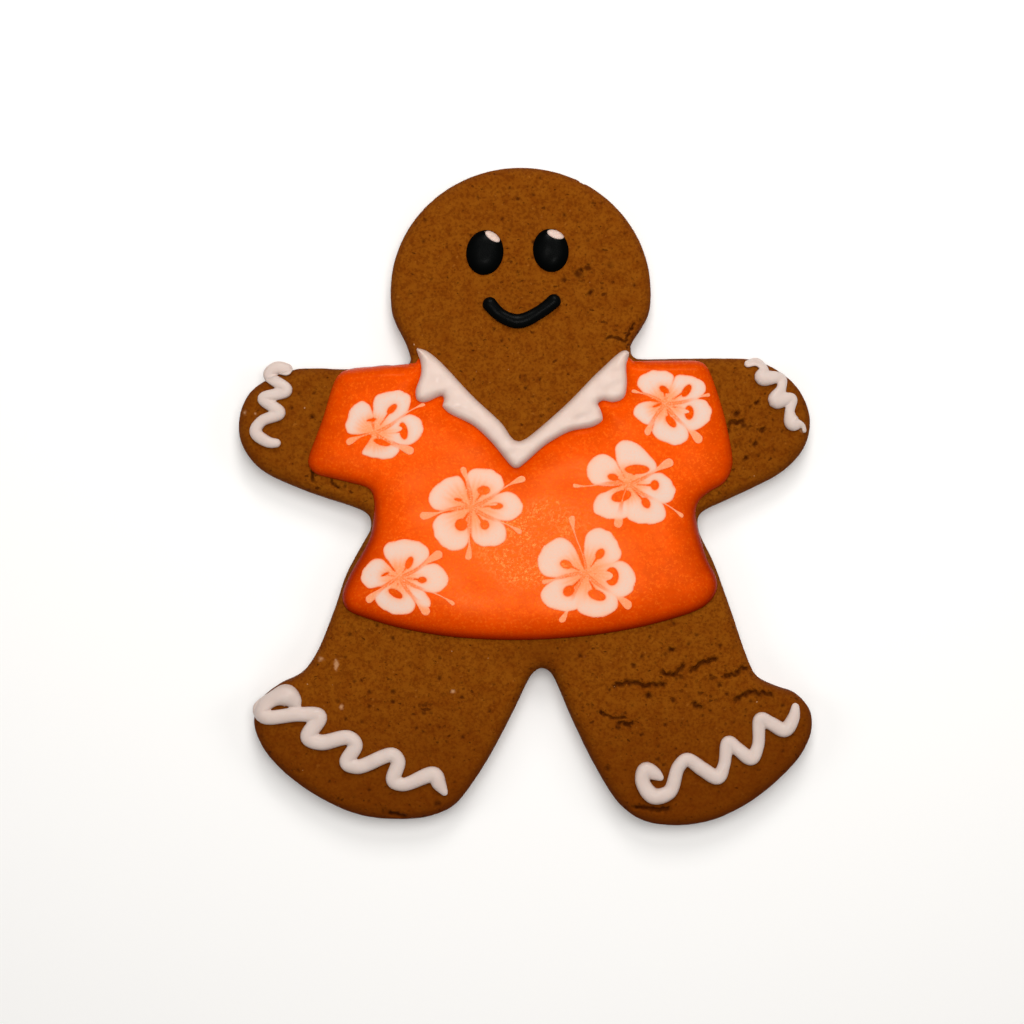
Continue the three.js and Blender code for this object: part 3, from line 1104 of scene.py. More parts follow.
    @staticmethod
    def patch(xy: np.ndarray, zone: tuple[float, float, float, float]) -> np.ndarray:
        """A soft spot: the middle, half width and half height of the zone are in millimetres."""
        x, y, wide, high = (value * MM for value in zone)
        return np.exp(-((xy[:, 0] - x) / wide) ** 2 - ((xy[:, 1] - y) / high) ** 2)

    @staticmethod
    def relief(material: bpy.types.Material) -> Sculpt:
        """The tree that roughens the crumb, opens its pores and marks painted shade in them.

        Args:
            material: The gingerbread.

        Returns:
            The tree.
        """
        sculpt = Sculpt("Baked relief", {
            "Pore Size": ("NodeSocketFloat", 1.5 * MM),
            "Pore Depth": ("NodeSocketFloat", 0.2 * MM),
            "Pit Size": ("NodeSocketFloat", 5.5 * MM),
            "Pit Depth": ("NodeSocketFloat", 0.35 * MM),
            "Crumb Size": ("NodeSocketFloat", 1.1 * MM),
            "Crumb Height": ("NodeSocketFloat", 0.13 * MM),
            "Material": ("NodeSocketMaterial", material),
        })
        warp_pitch = 1400.0
        rarity = 3.0
        floor_share = 0.35
        darkest = 0.85
        where = sculpt.add("GeometryNodeInputPosition").outputs[0]
        warp = sculpt.add("ShaderNodeTexNoise", {"Vector": where, "Scale": warp_pitch,
                                                 "Detail": 2.0}).outputs["Color"]
        warp = sculpt.add("ShaderNodeVectorMath", {0: warp, 1: (0.5, 0.5, 0.5)},
                          operation="SUBTRACT").outputs[0]
        bent = sculpt.add("ShaderNodeVectorMath", {0: where, 1: sculpt.scaled(warp, 0.7 * MM)},
                          operation="ADD").outputs[0]
        broken = sculpt.mark("crumbly")
        marks = []
        sinks = []
        for size, depth, widest in (("Pore Size", "Pore Depth", 0.36),
                                    ("Pit Size", "Pit Depth", 0.2)):
            scale = sculpt.math("DIVIDE", 1.0, sculpt.given(size))
            cells = sculpt.add("ShaderNodeTexVoronoi", {"Vector": bent, "Scale": scale})
            chance = sculpt.add("FunctionNodeSeparateColor", {"Color": cells.outputs["Color"]})
            share = sculpt.math("POWER", chance.outputs[0], rarity)
            share = sculpt.math("MULTIPLY", share, sculpt.math("ADD", broken, 1.0))
            radius = sculpt.math("MAXIMUM", sculpt.math("MULTIPLY", share, widest), 0.001)
            inner = sculpt.math("MULTIPLY", radius, floor_share)
            hole = sculpt.span(cells.outputs["Distance"], radius, inner)
            marks.append(hole)
            sinks.append(sculpt.math("MULTIPLY", hole, sculpt.given(depth)))
        crumb = sculpt.add("ShaderNodeTexNoise", {
            "Vector": where, "Scale": sculpt.math("DIVIDE", 1.0, sculpt.given("Crumb Size")),
            "Detail": 3.0, "Roughness": 0.65}).outputs[0]
        crumb = sculpt.math("MULTIPLY", sculpt.math("SUBTRACT", crumb, 0.5),
                            sculpt.given("Crumb Height"))
        height = sculpt.add("ShaderNodeSeparateXYZ", {0: where}).outputs[2]
        off_base = sculpt.span(height, 0.2 * MM, 0.9 * MM)
        lift = sculpt.math("SUBTRACT", crumb, sculpt.math("ADD", *sinks))
        lift = sculpt.math("MULTIPLY", lift, off_base)
        normal = sculpt.add("GeometryNodeInputNormal").outputs[0]
        # Painted shade in the pores: how dark the material draws them.
        pore_shade = sculpt.math("MULTIPLY", sculpt.math("MAXIMUM", *marks), darkest)
        stored = sculpt.add("GeometryNodeStoreNamedAttribute",
                            {"Geometry": sculpt.given("Geometry"), "Name": "pore_shade", "Value": pore_shade},
                            data_type="FLOAT", domain="POINT")
        moved = sculpt.add("GeometryNodeSetPosition", {"Geometry": stored.outputs[0],
                                                       "Offset": sculpt.scaled(normal, lift)})
        sculpt.finish(moved.outputs[0])
        return sculpt


@dataclass(frozen=True)
class Crumbs:
    """Loose crumbs and specks of flour that lie on the bare biscuit."""

    density: float = 16000.0
    apart: float = 1.6 * MM
    smallest: float = 0.06 * MM
    largest: float = 0.17 * MM
    floury: float = 0.35
    seed: int = 11

    def build(self, biscuit: bpy.types.Object, material: bpy.types.Material) -> bpy.types.Object:
        """Scatters them.

        Args:
            biscuit: The finished biscuit.
            material: The gingerbread.

        Returns:
            The crumbs as one object.
        """
        bed = add_object("loose_crumbs", biscuit.data.copy())
        return self.scatter(material).apply(bed)

    def scatter(self, material: bpy.types.Material) -> Sculpt:
        """The tree that scatters them.

        Args:
            material: The gingerbread.

        Returns:
            The tree.
        """
        sculpt = Sculpt("Crumb scatter", {
            "Density": ("NodeSocketFloat", self.density),
            "Apart": ("NodeSocketFloat", self.apart),
            "Smallest": ("NodeSocketFloat", self.smallest),
            "Largest": ("NodeSocketFloat", self.largest),
            "Flour Share": ("NodeSocketFloat", self.floury),
            "Seed": ("NodeSocketInt", self.seed),
            "Material": ("NodeSocketMaterial", material),
        })
        normal = sculpt.add("GeometryNodeInputNormal").outputs[0]
        upright = sculpt.add("ShaderNodeSeparateXYZ", {0: normal}).outputs[2]
        facing = sculpt.add("FunctionNodeCompare", {"A": upright, "B": 0.8},
                            data_type="FLOAT", operation="GREATER_THAN").outputs[0]
        bare = sculpt.mark("bare")
        spots = sculpt.add("GeometryNodeDistributePointsOnFaces", {
            "Mesh": sculpt.given("Geometry"), "Selection": facing,
            "Distance Min": sculpt.given("Apart"), "Density Max": sculpt.given("Density"),
            "Density Factor": bare, "Seed": sculpt.given("Seed")}, distribute_method="POISSON")
        chance = sculpt.add("FunctionNodeRandomValue", {"Probability": sculpt.given("Flour Share"),
                                                        "Seed": sculpt.given("Seed")},
                            data_type="BOOLEAN").outputs[3]
        marked = sculpt.add("GeometryNodeStoreNamedAttribute", {
            "Geometry": spots.outputs["Points"], "Name": "flour", "Value": chance},
            data_type="FLOAT", domain="POINT")
        size = sculpt.add("FunctionNodeRandomValue", {
            2: sculpt.given("Smallest"), 3: sculpt.given("Largest"),
            "Seed": sculpt.given("Seed")}, data_type="FLOAT").outputs[1]
        shape = sculpt.add("FunctionNodeRandomValue", {0: (0.7, 0.6, 0.4), 1: (1.6, 1.1, 0.7),
                                                       "Seed": sculpt.given("Seed")},
                           data_type="FLOAT_VECTOR").outputs[0]
        ball = sculpt.add("GeometryNodeMeshIcoSphere", {"Radius": 1.0, "Subdivisions": 2})
        placed = sculpt.add("GeometryNodeInstanceOnPoints", {
            "Points": marked.outputs[0], "Instance": ball.outputs[0],
            "Rotation": spots.outputs["Rotation"], "Scale": sculpt.scaled(shape, size)})
        sculpt.finish(placed.outputs[0])
        return sculpt


# ---------------------------------------------------------------- flooded icing


@dataclass
class Pool:
    """Icing flooded inside an outline: a round edge and a nearly level top.

    The node gives its outline and its height. Crown is the share of the height that is gained
    slowly, over spread times the width of the edge. Dimple is the width of a dip in the middle,
    which also takes painted shade, and deep_rim the share of the edge's painted shade that reaches
    as far in as the spread.
    """

    node: str
    edge_across: float
    spacing: float
    step: float
    crown: float = 0.3
    spread: float = 3.0
    waves: Ripple = Ripple(9 * MM, 0.025 * MM, seed=2)
    sink: float = 0.15 * MM
    dimple: float = 0.0
    deep_rim: float = 0.0
    outline: Outline = field(init=False)
    measure: Outline = field(init=False)
    rise: float = field(init=False)

    def __post_init__(self) -> None:
        """Reads the outline and the height from the frame."""
        low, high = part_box(self.node)
        self.rise = high[2] - low[2]
        self.set_outline(Outline.of_node(self.node, self.step))

    def set_outline(self, outline: Outline) -> None:
        """Keeps an outline, and a lighter copy for measuring."""
        self.outline = outline
        self.measure = Outline(outline.points[::2])

    def tuck_under(self, other: "Pool", near: float, reach: float) -> None:
        """Draws the edge in under another pool where the two lie side by side.

        Args:
            other: The other pool.
            near: How close to it the edge has to lie.
            reach: How far the edge is drawn out.
        """
        gap = -other.measure.depth(self.outline.points)
        share = 1 - ease((gap - near) / near)
        self.set_outline(self.outline.moved(share * reach))

    def lift(self, xy: np.ndarray, depth: np.ndarray) -> np.ndarray:
        """Height of the icing above what it lies on.

        Args:
            xy: x and y of each point.
            depth: Distance of each from the edge.

        Returns:
            One height for each point.
        """
        inwards = np.clip(depth / self.edge_across, 0, 1)
        slowly = np.clip(depth / (self.edge_across * self.spread), 0, 1)
        round_edge = np.sqrt(1 - (1 - inwards) ** 2)
        round_top = np.sqrt(1 - (1 - slowly) ** 2)
        lift = self.rise * ((1 - self.crown) * round_edge + self.crown * round_top)
        return lift + self.waves.at(xy) * inwards

    def surface(self, base: Ground) -> Ground:
        """What the next layer of icing lies on.

        Args:
            base: Function that gives the height below each point.

        Returns:
            Function that gives the height on top of the pool at each point.
        """
        def above(xy: np.ndarray) -> np.ndarray:
            """Height on top of the pool."""
            return base(xy) + self.lift(xy, self.measure.depth(xy).clip(0, None))

        return above

    def build(self, name: str, base: Ground) -> bpy.types.Object:
        """Makes the pool.

        Args:
            name: Name of the object.
            base: Function that gives the height below each point.

        Returns:
            The object.
        """
        border = self.outline.points
        shares = (0.012, 0.05, 0.12, 0.22, 0.35, 0.52, 0.74)
        rings = []
        for share in shares:
            ring = self.outline.moved(-share * self.edge_across).points
            rings.append(ring[self.measure.depth(ring) > 0.7 * share * self.edge_across])
        inner = self.outline.grid(self.spacing, self.edge_across * 0.85)
        xy, faces, rim = triangulate(border, np.vstack(rings + [inner]))
        depth = self.measure.depth(xy).clip(0, None)
        depth[rim] = 0
        ground = base(xy)
        # Painted shade towards the edge, which the material turns into the rim colour.
        edge = (1 - self.deep_rim) * (1 - ease(depth / self.edge_across)) ** 1.5
        edge += self.deep_rim * (1 - ease(depth / (self.edge_across * self.spread))) ** 1.3
        hollow_shade = np.zeros(len(xy))
        if self.dimple:
            hollow_shade = np.exp(-(np.hypot(*(xy - border.mean(axis=0)).T) / self.dimple) ** 2)
        z = ground + self.lift(xy, depth) - 0.4 * self.dimple * hollow_shade
        # The dimple takes the rim's painted shade too.
        edge = np.maximum(edge, hollow_shade)
        low = np.column_stack([xy[rim], ground[rim] - self.sink])
        return close_body(name, np.column_stack([xy, z]), faces, rim, [low], np.empty((0, 2)),
                          {"edge": edge})


# ---------------------------------------------------------------- piped icing


@dataclass
class Piping:
    """A line of icing from a round nozzle.

    Knots are x, y and half the width, in millimetres, where the line turns or changes width.
    """

    node: str
    knots: tuple[tuple[float, float, float], ...]
    flatness: float = 0.72
    voxel: float = 0.15 * MM
    wobble: float = 0.05 * MM
    stout: float = 1.1

    def spine(self) -> np.ndarray:
        """Walks along the line, rounded off at both ends.

        Returns:
            x, y and half width of each step, in metres.
        """
        walked = smooth_line(np.array(self.knots) * MM, 0.2 * MM, closed=False)
        walked[:, 2] *= self.stout
        run = travel(walked)
        for distance in (run, run[-1] - run):
            cap = np.clip(distance / walked[:, 2], 0, 1)
            walked[:, 2] *= np.sqrt(np.clip(1 - (1 - cap) ** 2, 0.02, 1))
        return walked

    def build(self, base: Ground, material: bpy.types.Material) -> bpy.types.Object:
        """Makes the line and lays it on what is below.

        Args:
            base: Function that gives the height below each point.
            material: Its icing.

        Returns:
            The object.
        """
        spine = self.spine()
        name = f"piped_{self.node}"
        mesh = bpy.data.meshes.new(name)
        corners = np.column_stack([spine[:, :2], np.zeros(len(spine))])
        mesh.from_pydata(corners.tolist(), [(i, i + 1) for i in range(len(spine) - 1)], [])
        store(mesh, "half_width", spine[:, 2])
        piece = self.nozzle(material).apply(add_object(name, mesh), self.voxel)
        places = np.empty(len(piece.data.vertices) * 3)
        piece.data.vertices.foreach_get("co", places)
        places = places.reshape(-1, 3)
        gap = line_distance(places[:, :2], spine[::3, :2])
        places[:, 2] += base(places[:, :2])
        piece.data.vertices.foreach_set("co", places.ravel())
        width = np.array(self.knots)[:, 2].max() * MM
        # Painted shade on the flanks of the line, which the material turns into the rim colour.
        edge = ease((gap / width - 0.55) / 0.6)
        store(piece.data, "edge", edge)
        piece.data.update()
        return piece

    def nozzle(self, material: bpy.types.Material) -> Sculpt:
        """The tree that draws a flattened round section along the line.

        Args:
            material: The icing.

        Returns:
            The tree.
        """
        sculpt = Sculpt("Piped line", {
            "Flatness": ("NodeSocketFloat", self.flatness),
            "Sides": ("NodeSocketInt", 20),
            "Wobble": ("NodeSocketFloat", self.wobble),
            "Wobble Size": ("NodeSocketFloat", 2.2 * MM),
            "Sink": ("NodeSocketFloat", 0.12 * MM),
            "Material": ("NodeSocketMaterial", material),
        })
        path = sculpt.add("GeometryNodeMeshToCurve", {"Mesh": sculpt.given("Geometry")})
        upright = sculpt.add("GeometryNodeSetCurveNormal", {"Curve": path.outputs[0]}, mode="Z_UP")
        circle = sculpt.add("GeometryNodeCurvePrimitiveCircle",
                            {"Resolution": sculpt.given("Sides"), "Radius": 1.0})
        width = sculpt.mark("half_width")
        tube = sculpt.add("GeometryNodeCurveToMesh", {
            "Curve": upright.outputs[0], "Profile Curve": circle.outputs[0],
            "Scale": width, "Fill Caps": True})
        where = sculpt.add("GeometryNodeInputPosition").outputs[0]
        noise = sculpt.add("ShaderNodeTexNoise", {
            "Vector": where, "Scale": sculpt.math("DIVIDE", 1.0, sculpt.given("Wobble Size")),
            "Detail": 2.0}).outputs[0]
        swell = sculpt.math("MULTIPLY", sculpt.math("SUBTRACT", noise, 0.5),
                            sculpt.given("Wobble"))
        normal = sculpt.add("GeometryNodeInputNormal").outputs[0]
        swollen = sculpt.add("GeometryNodeSetPosition", {
            "Geometry": tube.outputs[0], "Offset": sculpt.scaled(normal, swell)})
        parts = sculpt.add("ShaderNodeSeparateXYZ", {0: where})
        flat = sculpt.math("MULTIPLY", parts.outputs[2], sculpt.given("Flatness"))
        raised = sculpt.math("MAXIMUM", sculpt.math("ADD", flat, 0.45 * MM),
                             sculpt.math("MULTIPLY", sculpt.given("Sink"), -1.0))
        placed = sculpt.add("ShaderNodeCombineXYZ", {0: parts.outputs[0], 1: parts.outputs[1],
                                                     2: raised})
        laid = sculpt.add("GeometryNodeSetPosition", {"Geometry": swollen.outputs[0],
                                                      "Position": placed.outputs[0]})
        sculpt.finish(laid.outputs[0])
        return sculpt


TRIM = (
    Piping("cuff_left", (
        (-45, 24.1, 1.1), (-48, 24.8, 1.15), (-49.6, 23.5, 1), (-46, 20.4, 1.1),
        (-50.5, 18.8, 1), (-47.3, 16.1, 1.1), (-50.8, 14.4, 1), (-51.9, 12.4, 1.1),
        (-49.6, 10.5, 1), (-47, 10.2, 0.7))),
    Piping("cuff_right", (
        (42.1, 25.3, 0.6), (44.6, 25.9, 0.8), (45.9, 24.6, 0.8), (45.5, 22.9, 1.4),
        (49.3, 22.8, 0.9), (49.2, 20.8, 0.9), (48.2, 18.5, 1.5), (51.3, 18.8, 0.9),
        (50.8, 16.2, 0.9), (51.4, 14.1, 1.4), (53.3, 13.6, 0.5), (53.8, 12.2, 0.4))),
    Piping("foot_zigzag_left", (
        (-43.5, -40.8, 0.45), (-44.5, -39.3, 1.45), (-46, -38.3, 1.95), (-48.6, -39, 1.35),
        (-51.2, -41.2, 1.4), (-50, -42.4, 1.3),
        (-43.5, -41.9, 1.3), (-39.7, -42.4, 1.4), (-41.8, -46.3, 1.4), (-39.3, -47.3, 1.4),
        (-34, -46.4, 1.3), (-32.7, -47.8, 1.3), (-34.4, -51.2, 1.3), (-32.3, -52, 1.3),
        (-25.6, -49.7, 1.3), (-24.5, -51, 1.3), (-25.4, -54.6, 1.3), (-23.5, -55.4, 1.2),
        (-17.6, -53.5, 1.4), (-16.6, -55.3, 1.25), (-15.2, -57.5, 0.45))),
    Piping("foot_zigzag_right", (
        (26.5, -54.5, 0.4), (25, -53.4, 1.15), (23.1, -52.6, 1.4), (22.5, -54.8, 1.3),
        (24.6, -57.6, 1.45),
        (27.7, -56.8, 1.3), (29.4, -52.1, 1.2), (31, -50.6, 1.2), (34.1, -52.5, 1.3),
        (37, -54, 1.3), (38.2, -51.6, 1.1), (39, -47.3, 1.2), (40.8, -48.6, 1.2),
        (43.4, -50.3, 1.3), (44.7, -48, 1.1), (45.2, -42.8, 1.2), (47.1, -43.6, 1.2),
        (49.9, -44.9, 1.3), (51.5, -42.6, 1.1), (52, -39.7, 0.6))),
)
SMILE = Piping("smile", ((-7.8, 38, 1.35), (-4.7, 34.8, 1.2), (-1.3, 33.7, 1.3),
                         (2.8, 35.5, 1.2), (6.5, 38.4, 1.3)), voxel=0.11 * MM, wobble=0.008 * MM)


# ---------------------------------------------------------------- the flowers


def oval(x: float, y: float, length: float, width: float, turn: float) -> Outline:
    """Outline of an oval.

    Args:
        x: Where its middle is, in millimetres.
        y: Where its middle is, in millimetres.
        length: Its long side, in millimetres.
        width: Its short side, in millimetres.
        turn: Direction of the long side, in degrees.

    Returns:
        The outline, in metres.
    """
    sweep = np.linspace(0, 2 * math.pi, 24, endpoint=False)
    angle = math.radians(turn)
    along = length / 2 * np.cos(sweep)
    across = width / 2 * np.sin(sweep)
    points = np.column_stack([x + along * math.cos(angle) - across * math.sin(angle),
                              y + along * math.sin(angle) + across * math.cos(angle)])
    return Outline(points * MM)


def lattice(low: np.ndarray, high: np.ndarray, spacing: float) -> tuple[np.ndarray, np.ndarray]:
    """A field of even triangles between two corners.

    Args:
        low: The lower corner.
        high: The upper corner.
        spacing: Length of a side.

    Returns:
        The corners and the triangles.
    """
    columns = int((high[0] - low[0]) / spacing) + 2
    rows = int((high[1] - low[1]) / (spacing * math.sqrt(0.75))) + 2
    across, up = np.meshgrid(np.arange(columns), np.arange(rows))
    x = low[0] + spacing * (across + 0.5 * (up % 2))
    y = low[1] + spacing * math.sqrt(0.75) * up
    first = (up[:-1, :-1] * columns + across[:-1, :-1])
    odd = (up[:-1, :-1] % 2).astype(bool)
    right, above, corner = first + 1, first + columns, first + columns + 1
    lower = np.where(odd[..., None], np.stack([first, right, corner], -1),
                     np.stack([first, right, above], -1))
    upper = np.where(odd[..., None], np.stack([first, corner, above], -1),
                     np.stack([right, corner, above], -1))
    triangles = np.concatenate([lower.reshape(-1, 3), upper.reshape(-1, 3)])
    return np.column_stack([x.ravel(), y.ravel()]), triangles


def lone_edges(triangles: np.ndarray) -> np.ndarray:
    """Finds the edges that only one of the triangles has.

    Args:
        triangles: The corners of each triangle.

    Returns:
        The two ends of each edge, in its triangle's direction.
    """
    edges = np.concatenate([triangles[:, [0, 1]], triangles[:, [1, 2]], triangles[:, [2, 0]]])
    size = int(triangles.max()) + 1
    lone = ~np.isin(edges[:, 0] * size + edges[:, 1], edges[:, 1] * size + edges[:, 0])
    return edges[lone]


@dataclass(frozen=True)
class Blur:
    """How far each part of a flower runs into its surroundings, in millimetres."""

    petal: float = 0.46
    eye: float = 0.42
    tongue: float = 0.2
    line: float = 0.16
    flank: float = 0.12
    hub: float = 0.7
    halo: float = 0.8
    haze: float = 0.6

    @staticmethod
    def soft(distance: np.ndarray, blur: float) -> np.ndarray:
        """Cover of a part with a blurred edge, from the distance inside it in metres."""
        return ease(0.5 + distance / (2 * blur * MM))


@dataclass(frozen=True)
class Flower:
    """A hibiscus drawn with white icing in the wet orange icing, and pulled with a needle.

    Places are in millimetres from the hub. A petal is its direction, reach, width and lean; a
    stamen its direction, length and the width of its drop; an eye, where the orange shows, and a
    tongue, which is white inside an eye, are each x, y, length, width and turn.
    """

    node: str
    hub: tuple[float, float]
    petals: tuple[tuple[float, float, float, float], ...]
    stamens: tuple[tuple[float, float, float], ...]
    eyes: tuple[tuple[float, float, float, float, float], ...]
    tongues: tuple[tuple[float, float, float, float, float], ...] = ()
    spacing: float = 0.15 * MM
    proud: float = 0.05 * MM
    below: float = 0.15 * MM
    sink: float = 0.3 * MM
    haze: float = 3.6 * MM
    ragged: Ripple = Ripple(2.4 * MM, 0.07 * MM, seed=8)
    blur: Blur = Blur()
    white: Colour = linear(231, 193, 173)
    blush: Colour = linear(243, 168, 126)
    peach: Colour = linear(247, 142, 84)
    orange: Colour = linear(245, 96, 16)

    @staticmethod
    def petal(angle: float, reach: float, width: float, lean: float) -> Outline:
        """Outline of a petal: narrow at the hub and round at its far end.

        Args:
            angle: Its direction, in degrees.
            reach: Its length, in millimetres.
            width: Its width, in millimetres.
            lean: How far its far end leans to one side, as a share.

        Returns:
            The outline, in metres.
        """
        out = np.linspace(0, 1, 25)
        half = width / 2 * np.sin(math.pi * out ** 1.85).clip(0) ** 0.55
        across = np.concatenate([half, -half[-2:0:-1]])
        share = np.concatenate([out, out[-2:0:-1]])
        along = reach * share + lean * across * share ** 2
        turn = math.radians(angle)
        points = np.column_stack([along * math.cos(turn) - across * math.sin(turn),
                                  along * math.sin(turn) + across * math.cos(turn)])
        return Outline(points * MM)

    @staticmethod
    def stroke(xy: np.ndarray, angle: float, length: float, drop: float) -> np.ndarray:
        """Distance inside a stamen: a hair-thin line that ends in a drop.

        Args:
            xy: Places from the hub, in metres.
            angle: Direction of the stamen, in degrees.
            length: Its length, in millimetres.
            drop: Width of its drop, in millimetres.

        Returns:
            One distance for each place, above 0 inside.
        """
        turn = math.radians(angle)
        along = xy @ (math.cos(turn), math.sin(turn))
        across = xy @ (-math.sin(turn), math.cos(turn)) + 0.25 * MM * np.sin(along / (1.8 * MM))
        end = (length - drop / 2) * MM
        reach = np.clip(along, 0, end)
        swell = ease((reach - end + 3.2 * drop * MM) / (3.2 * drop * MM)) ** 2
        half = (0.13 + (drop / 2 - 0.13) * swell) * MM
        return half - np.hypot(along - reach, across)

    def fields(self, xy: np.ndarray) -> dict[str, np.ndarray]:
        """How much of each part of the flower there is at each place.

        Args:
            xy: Places from the hub, in metres.

        Returns:
            Distances inside the petals, eyes, tongues and stamens, and from the hub.
        """
        petals = np.max([self.petal(*petal).depth(xy) for petal in self.petals], axis=0)
        petals += self.ragged.at(xy)
        eyes = np.max([oval(*eye).depth(xy) for eye in self.eyes], axis=0)
        for x, y, _, width, _ in self.eyes:
            tail = line_distance(xy, np.array([(x, y), (0.35 * x, 0.35 * y)]) * MM)
            far = np.hypot(*xy.T) / (math.hypot(x, y) * MM)
            eyes = np.maximum(eyes, width * MM * (0.06 + 0.22 * far.clip(0, 1) ** 3) - tail)
        tongues = np.full(len(xy), -1.0)
        for tongue in self.tongues:
            tongues = np.maximum(tongues, oval(*tongue).depth(xy))
        stamens = np.max([self.stroke(xy, *stamen) for stamen in self.stamens], axis=0)
        return {"petals": petals, "eyes": eyes, "tongues": tongues, "stamens": stamens,
                "hub": np.hypot(*xy.T), "around": np.arctan2(xy[:, 1], xy[:, 0])}

    def cover(self, parts: dict[str, np.ndarray]) -> tuple[np.ndarray, np.ndarray]:
        """How much white icing lies at each place, and its colour.

        Args:
            parts: What fields() gives.

        Returns:
            The cover from 0 to 1, and the colours.
        """
        blur = self.blur
        soft = blur.soft
        near_hub = ease((6.5 * MM - parts["hub"]) / (4 * MM))
        flank = soft(0.2 * MM + parts["stamens"], blur.flank) * near_hub
        eyes = soft(parts["eyes"], blur.eye)
        white = np.maximum(soft(parts["petals"] + 0.06 * MM, blur.petal) * (1 - eyes),
                           soft(parts["tongues"], blur.tongue) * 0.95)
        lines = soft(parts["stamens"], blur.line) * 0.85
        hub = soft(0.8 * MM - parts["hub"], blur.hub) * 0.8
        cover = np.max([white, lines, hub], axis=0)
        shade = np.outer(np.ones(len(cover)), self.white)
        near_eye = soft(parts["eyes"] + 0.45 * MM, blur.halo)
        around = parts["around"]
        streaks = 0.5 + 0.5 * np.sin(23 * around + 2.4 * np.sin(5 * around) + 700 * parts["hub"])
        haze = 1 - soft(parts["petals"] - 0.5 * MM, blur.haze)
        inner = 1 - ease((parts["hub"] - 1.4 * MM) / self.haze)
        thin = np.maximum(lines, hub) * (1 - white * (1 - near_hub))
        faint = 1 - ease((cover - 0.25) / 0.65)
        for share, tone in ((0.7 * near_eye, self.blush), (inner, self.blush),
                            (0.45 * haze, self.blush), (0.7 * inner * streaks, self.peach),
                            (inner ** 2 * 0.7, self.peach), (0.9 * flank, self.orange),
                            (thin, self.peach), (0.9 * faint, self.orange)):
            shade += share[:, None] * (np.array(tone) - shade)
        return cover, shade

    def build(self, origin: np.ndarray, base: Ground) -> bpy.types.Object:
        """Makes the flower as a thin skin that rises from the icing only where it is white.

        Args:
            origin: Where the drawing's zero lies, in metres.
            base: Function that gives the height below each point.

        Returns:
            The object.
        """
        reach = (max(part[1] for part in self.petals + self.stamens) + 1.5) * MM
        corner = np.array((reach, reach))
        xy, triangles = lattice(-corner, corner, self.spacing)
        parts = self.fields(xy)
        near = np.maximum(np.maximum(parts["petals"], parts["stamens"]), 1.2 * MM - parts["hub"])
        wanted = near > -0.4 * MM
        while True:
            kept = triangles[wanted[triangles].any(axis=1)]
            edges = lone_edges(kept)
            crowded = np.bincount(edges[:, 0], minlength=len(xy)) > 1
            if not crowded.any():
                break
            wanted |= crowded
        used, flat = np.unique(kept, return_inverse=True)
        faces = flat.reshape(-1, 3)
        xy = xy[used]
        cover, shade = self.cover({key: value[used] for key, value in parts.items()})
        spots = xy + origin + np.array(self.hub) * MM
        ground = base(spots)
        rise = ease((cover - 0.08) / 0.4)
        top = np.column_stack([spots, ground - self.below + (self.below + self.proud) * rise])
        low = np.column_stack([spots, ground - self.sink])
        count = len(used)
        sides = lone_edges(faces)
        walls = np.column_stack([sides[:, ::-1], sides + count])
        every = faces.tolist() + (faces[:, ::-1] + count).tolist() + walls.tolist()
        stain = np.concatenate([shade, shade])
        return build_mesh(f"drawn_{self.node}", np.vstack([top, low]), every, {"stain": stain})


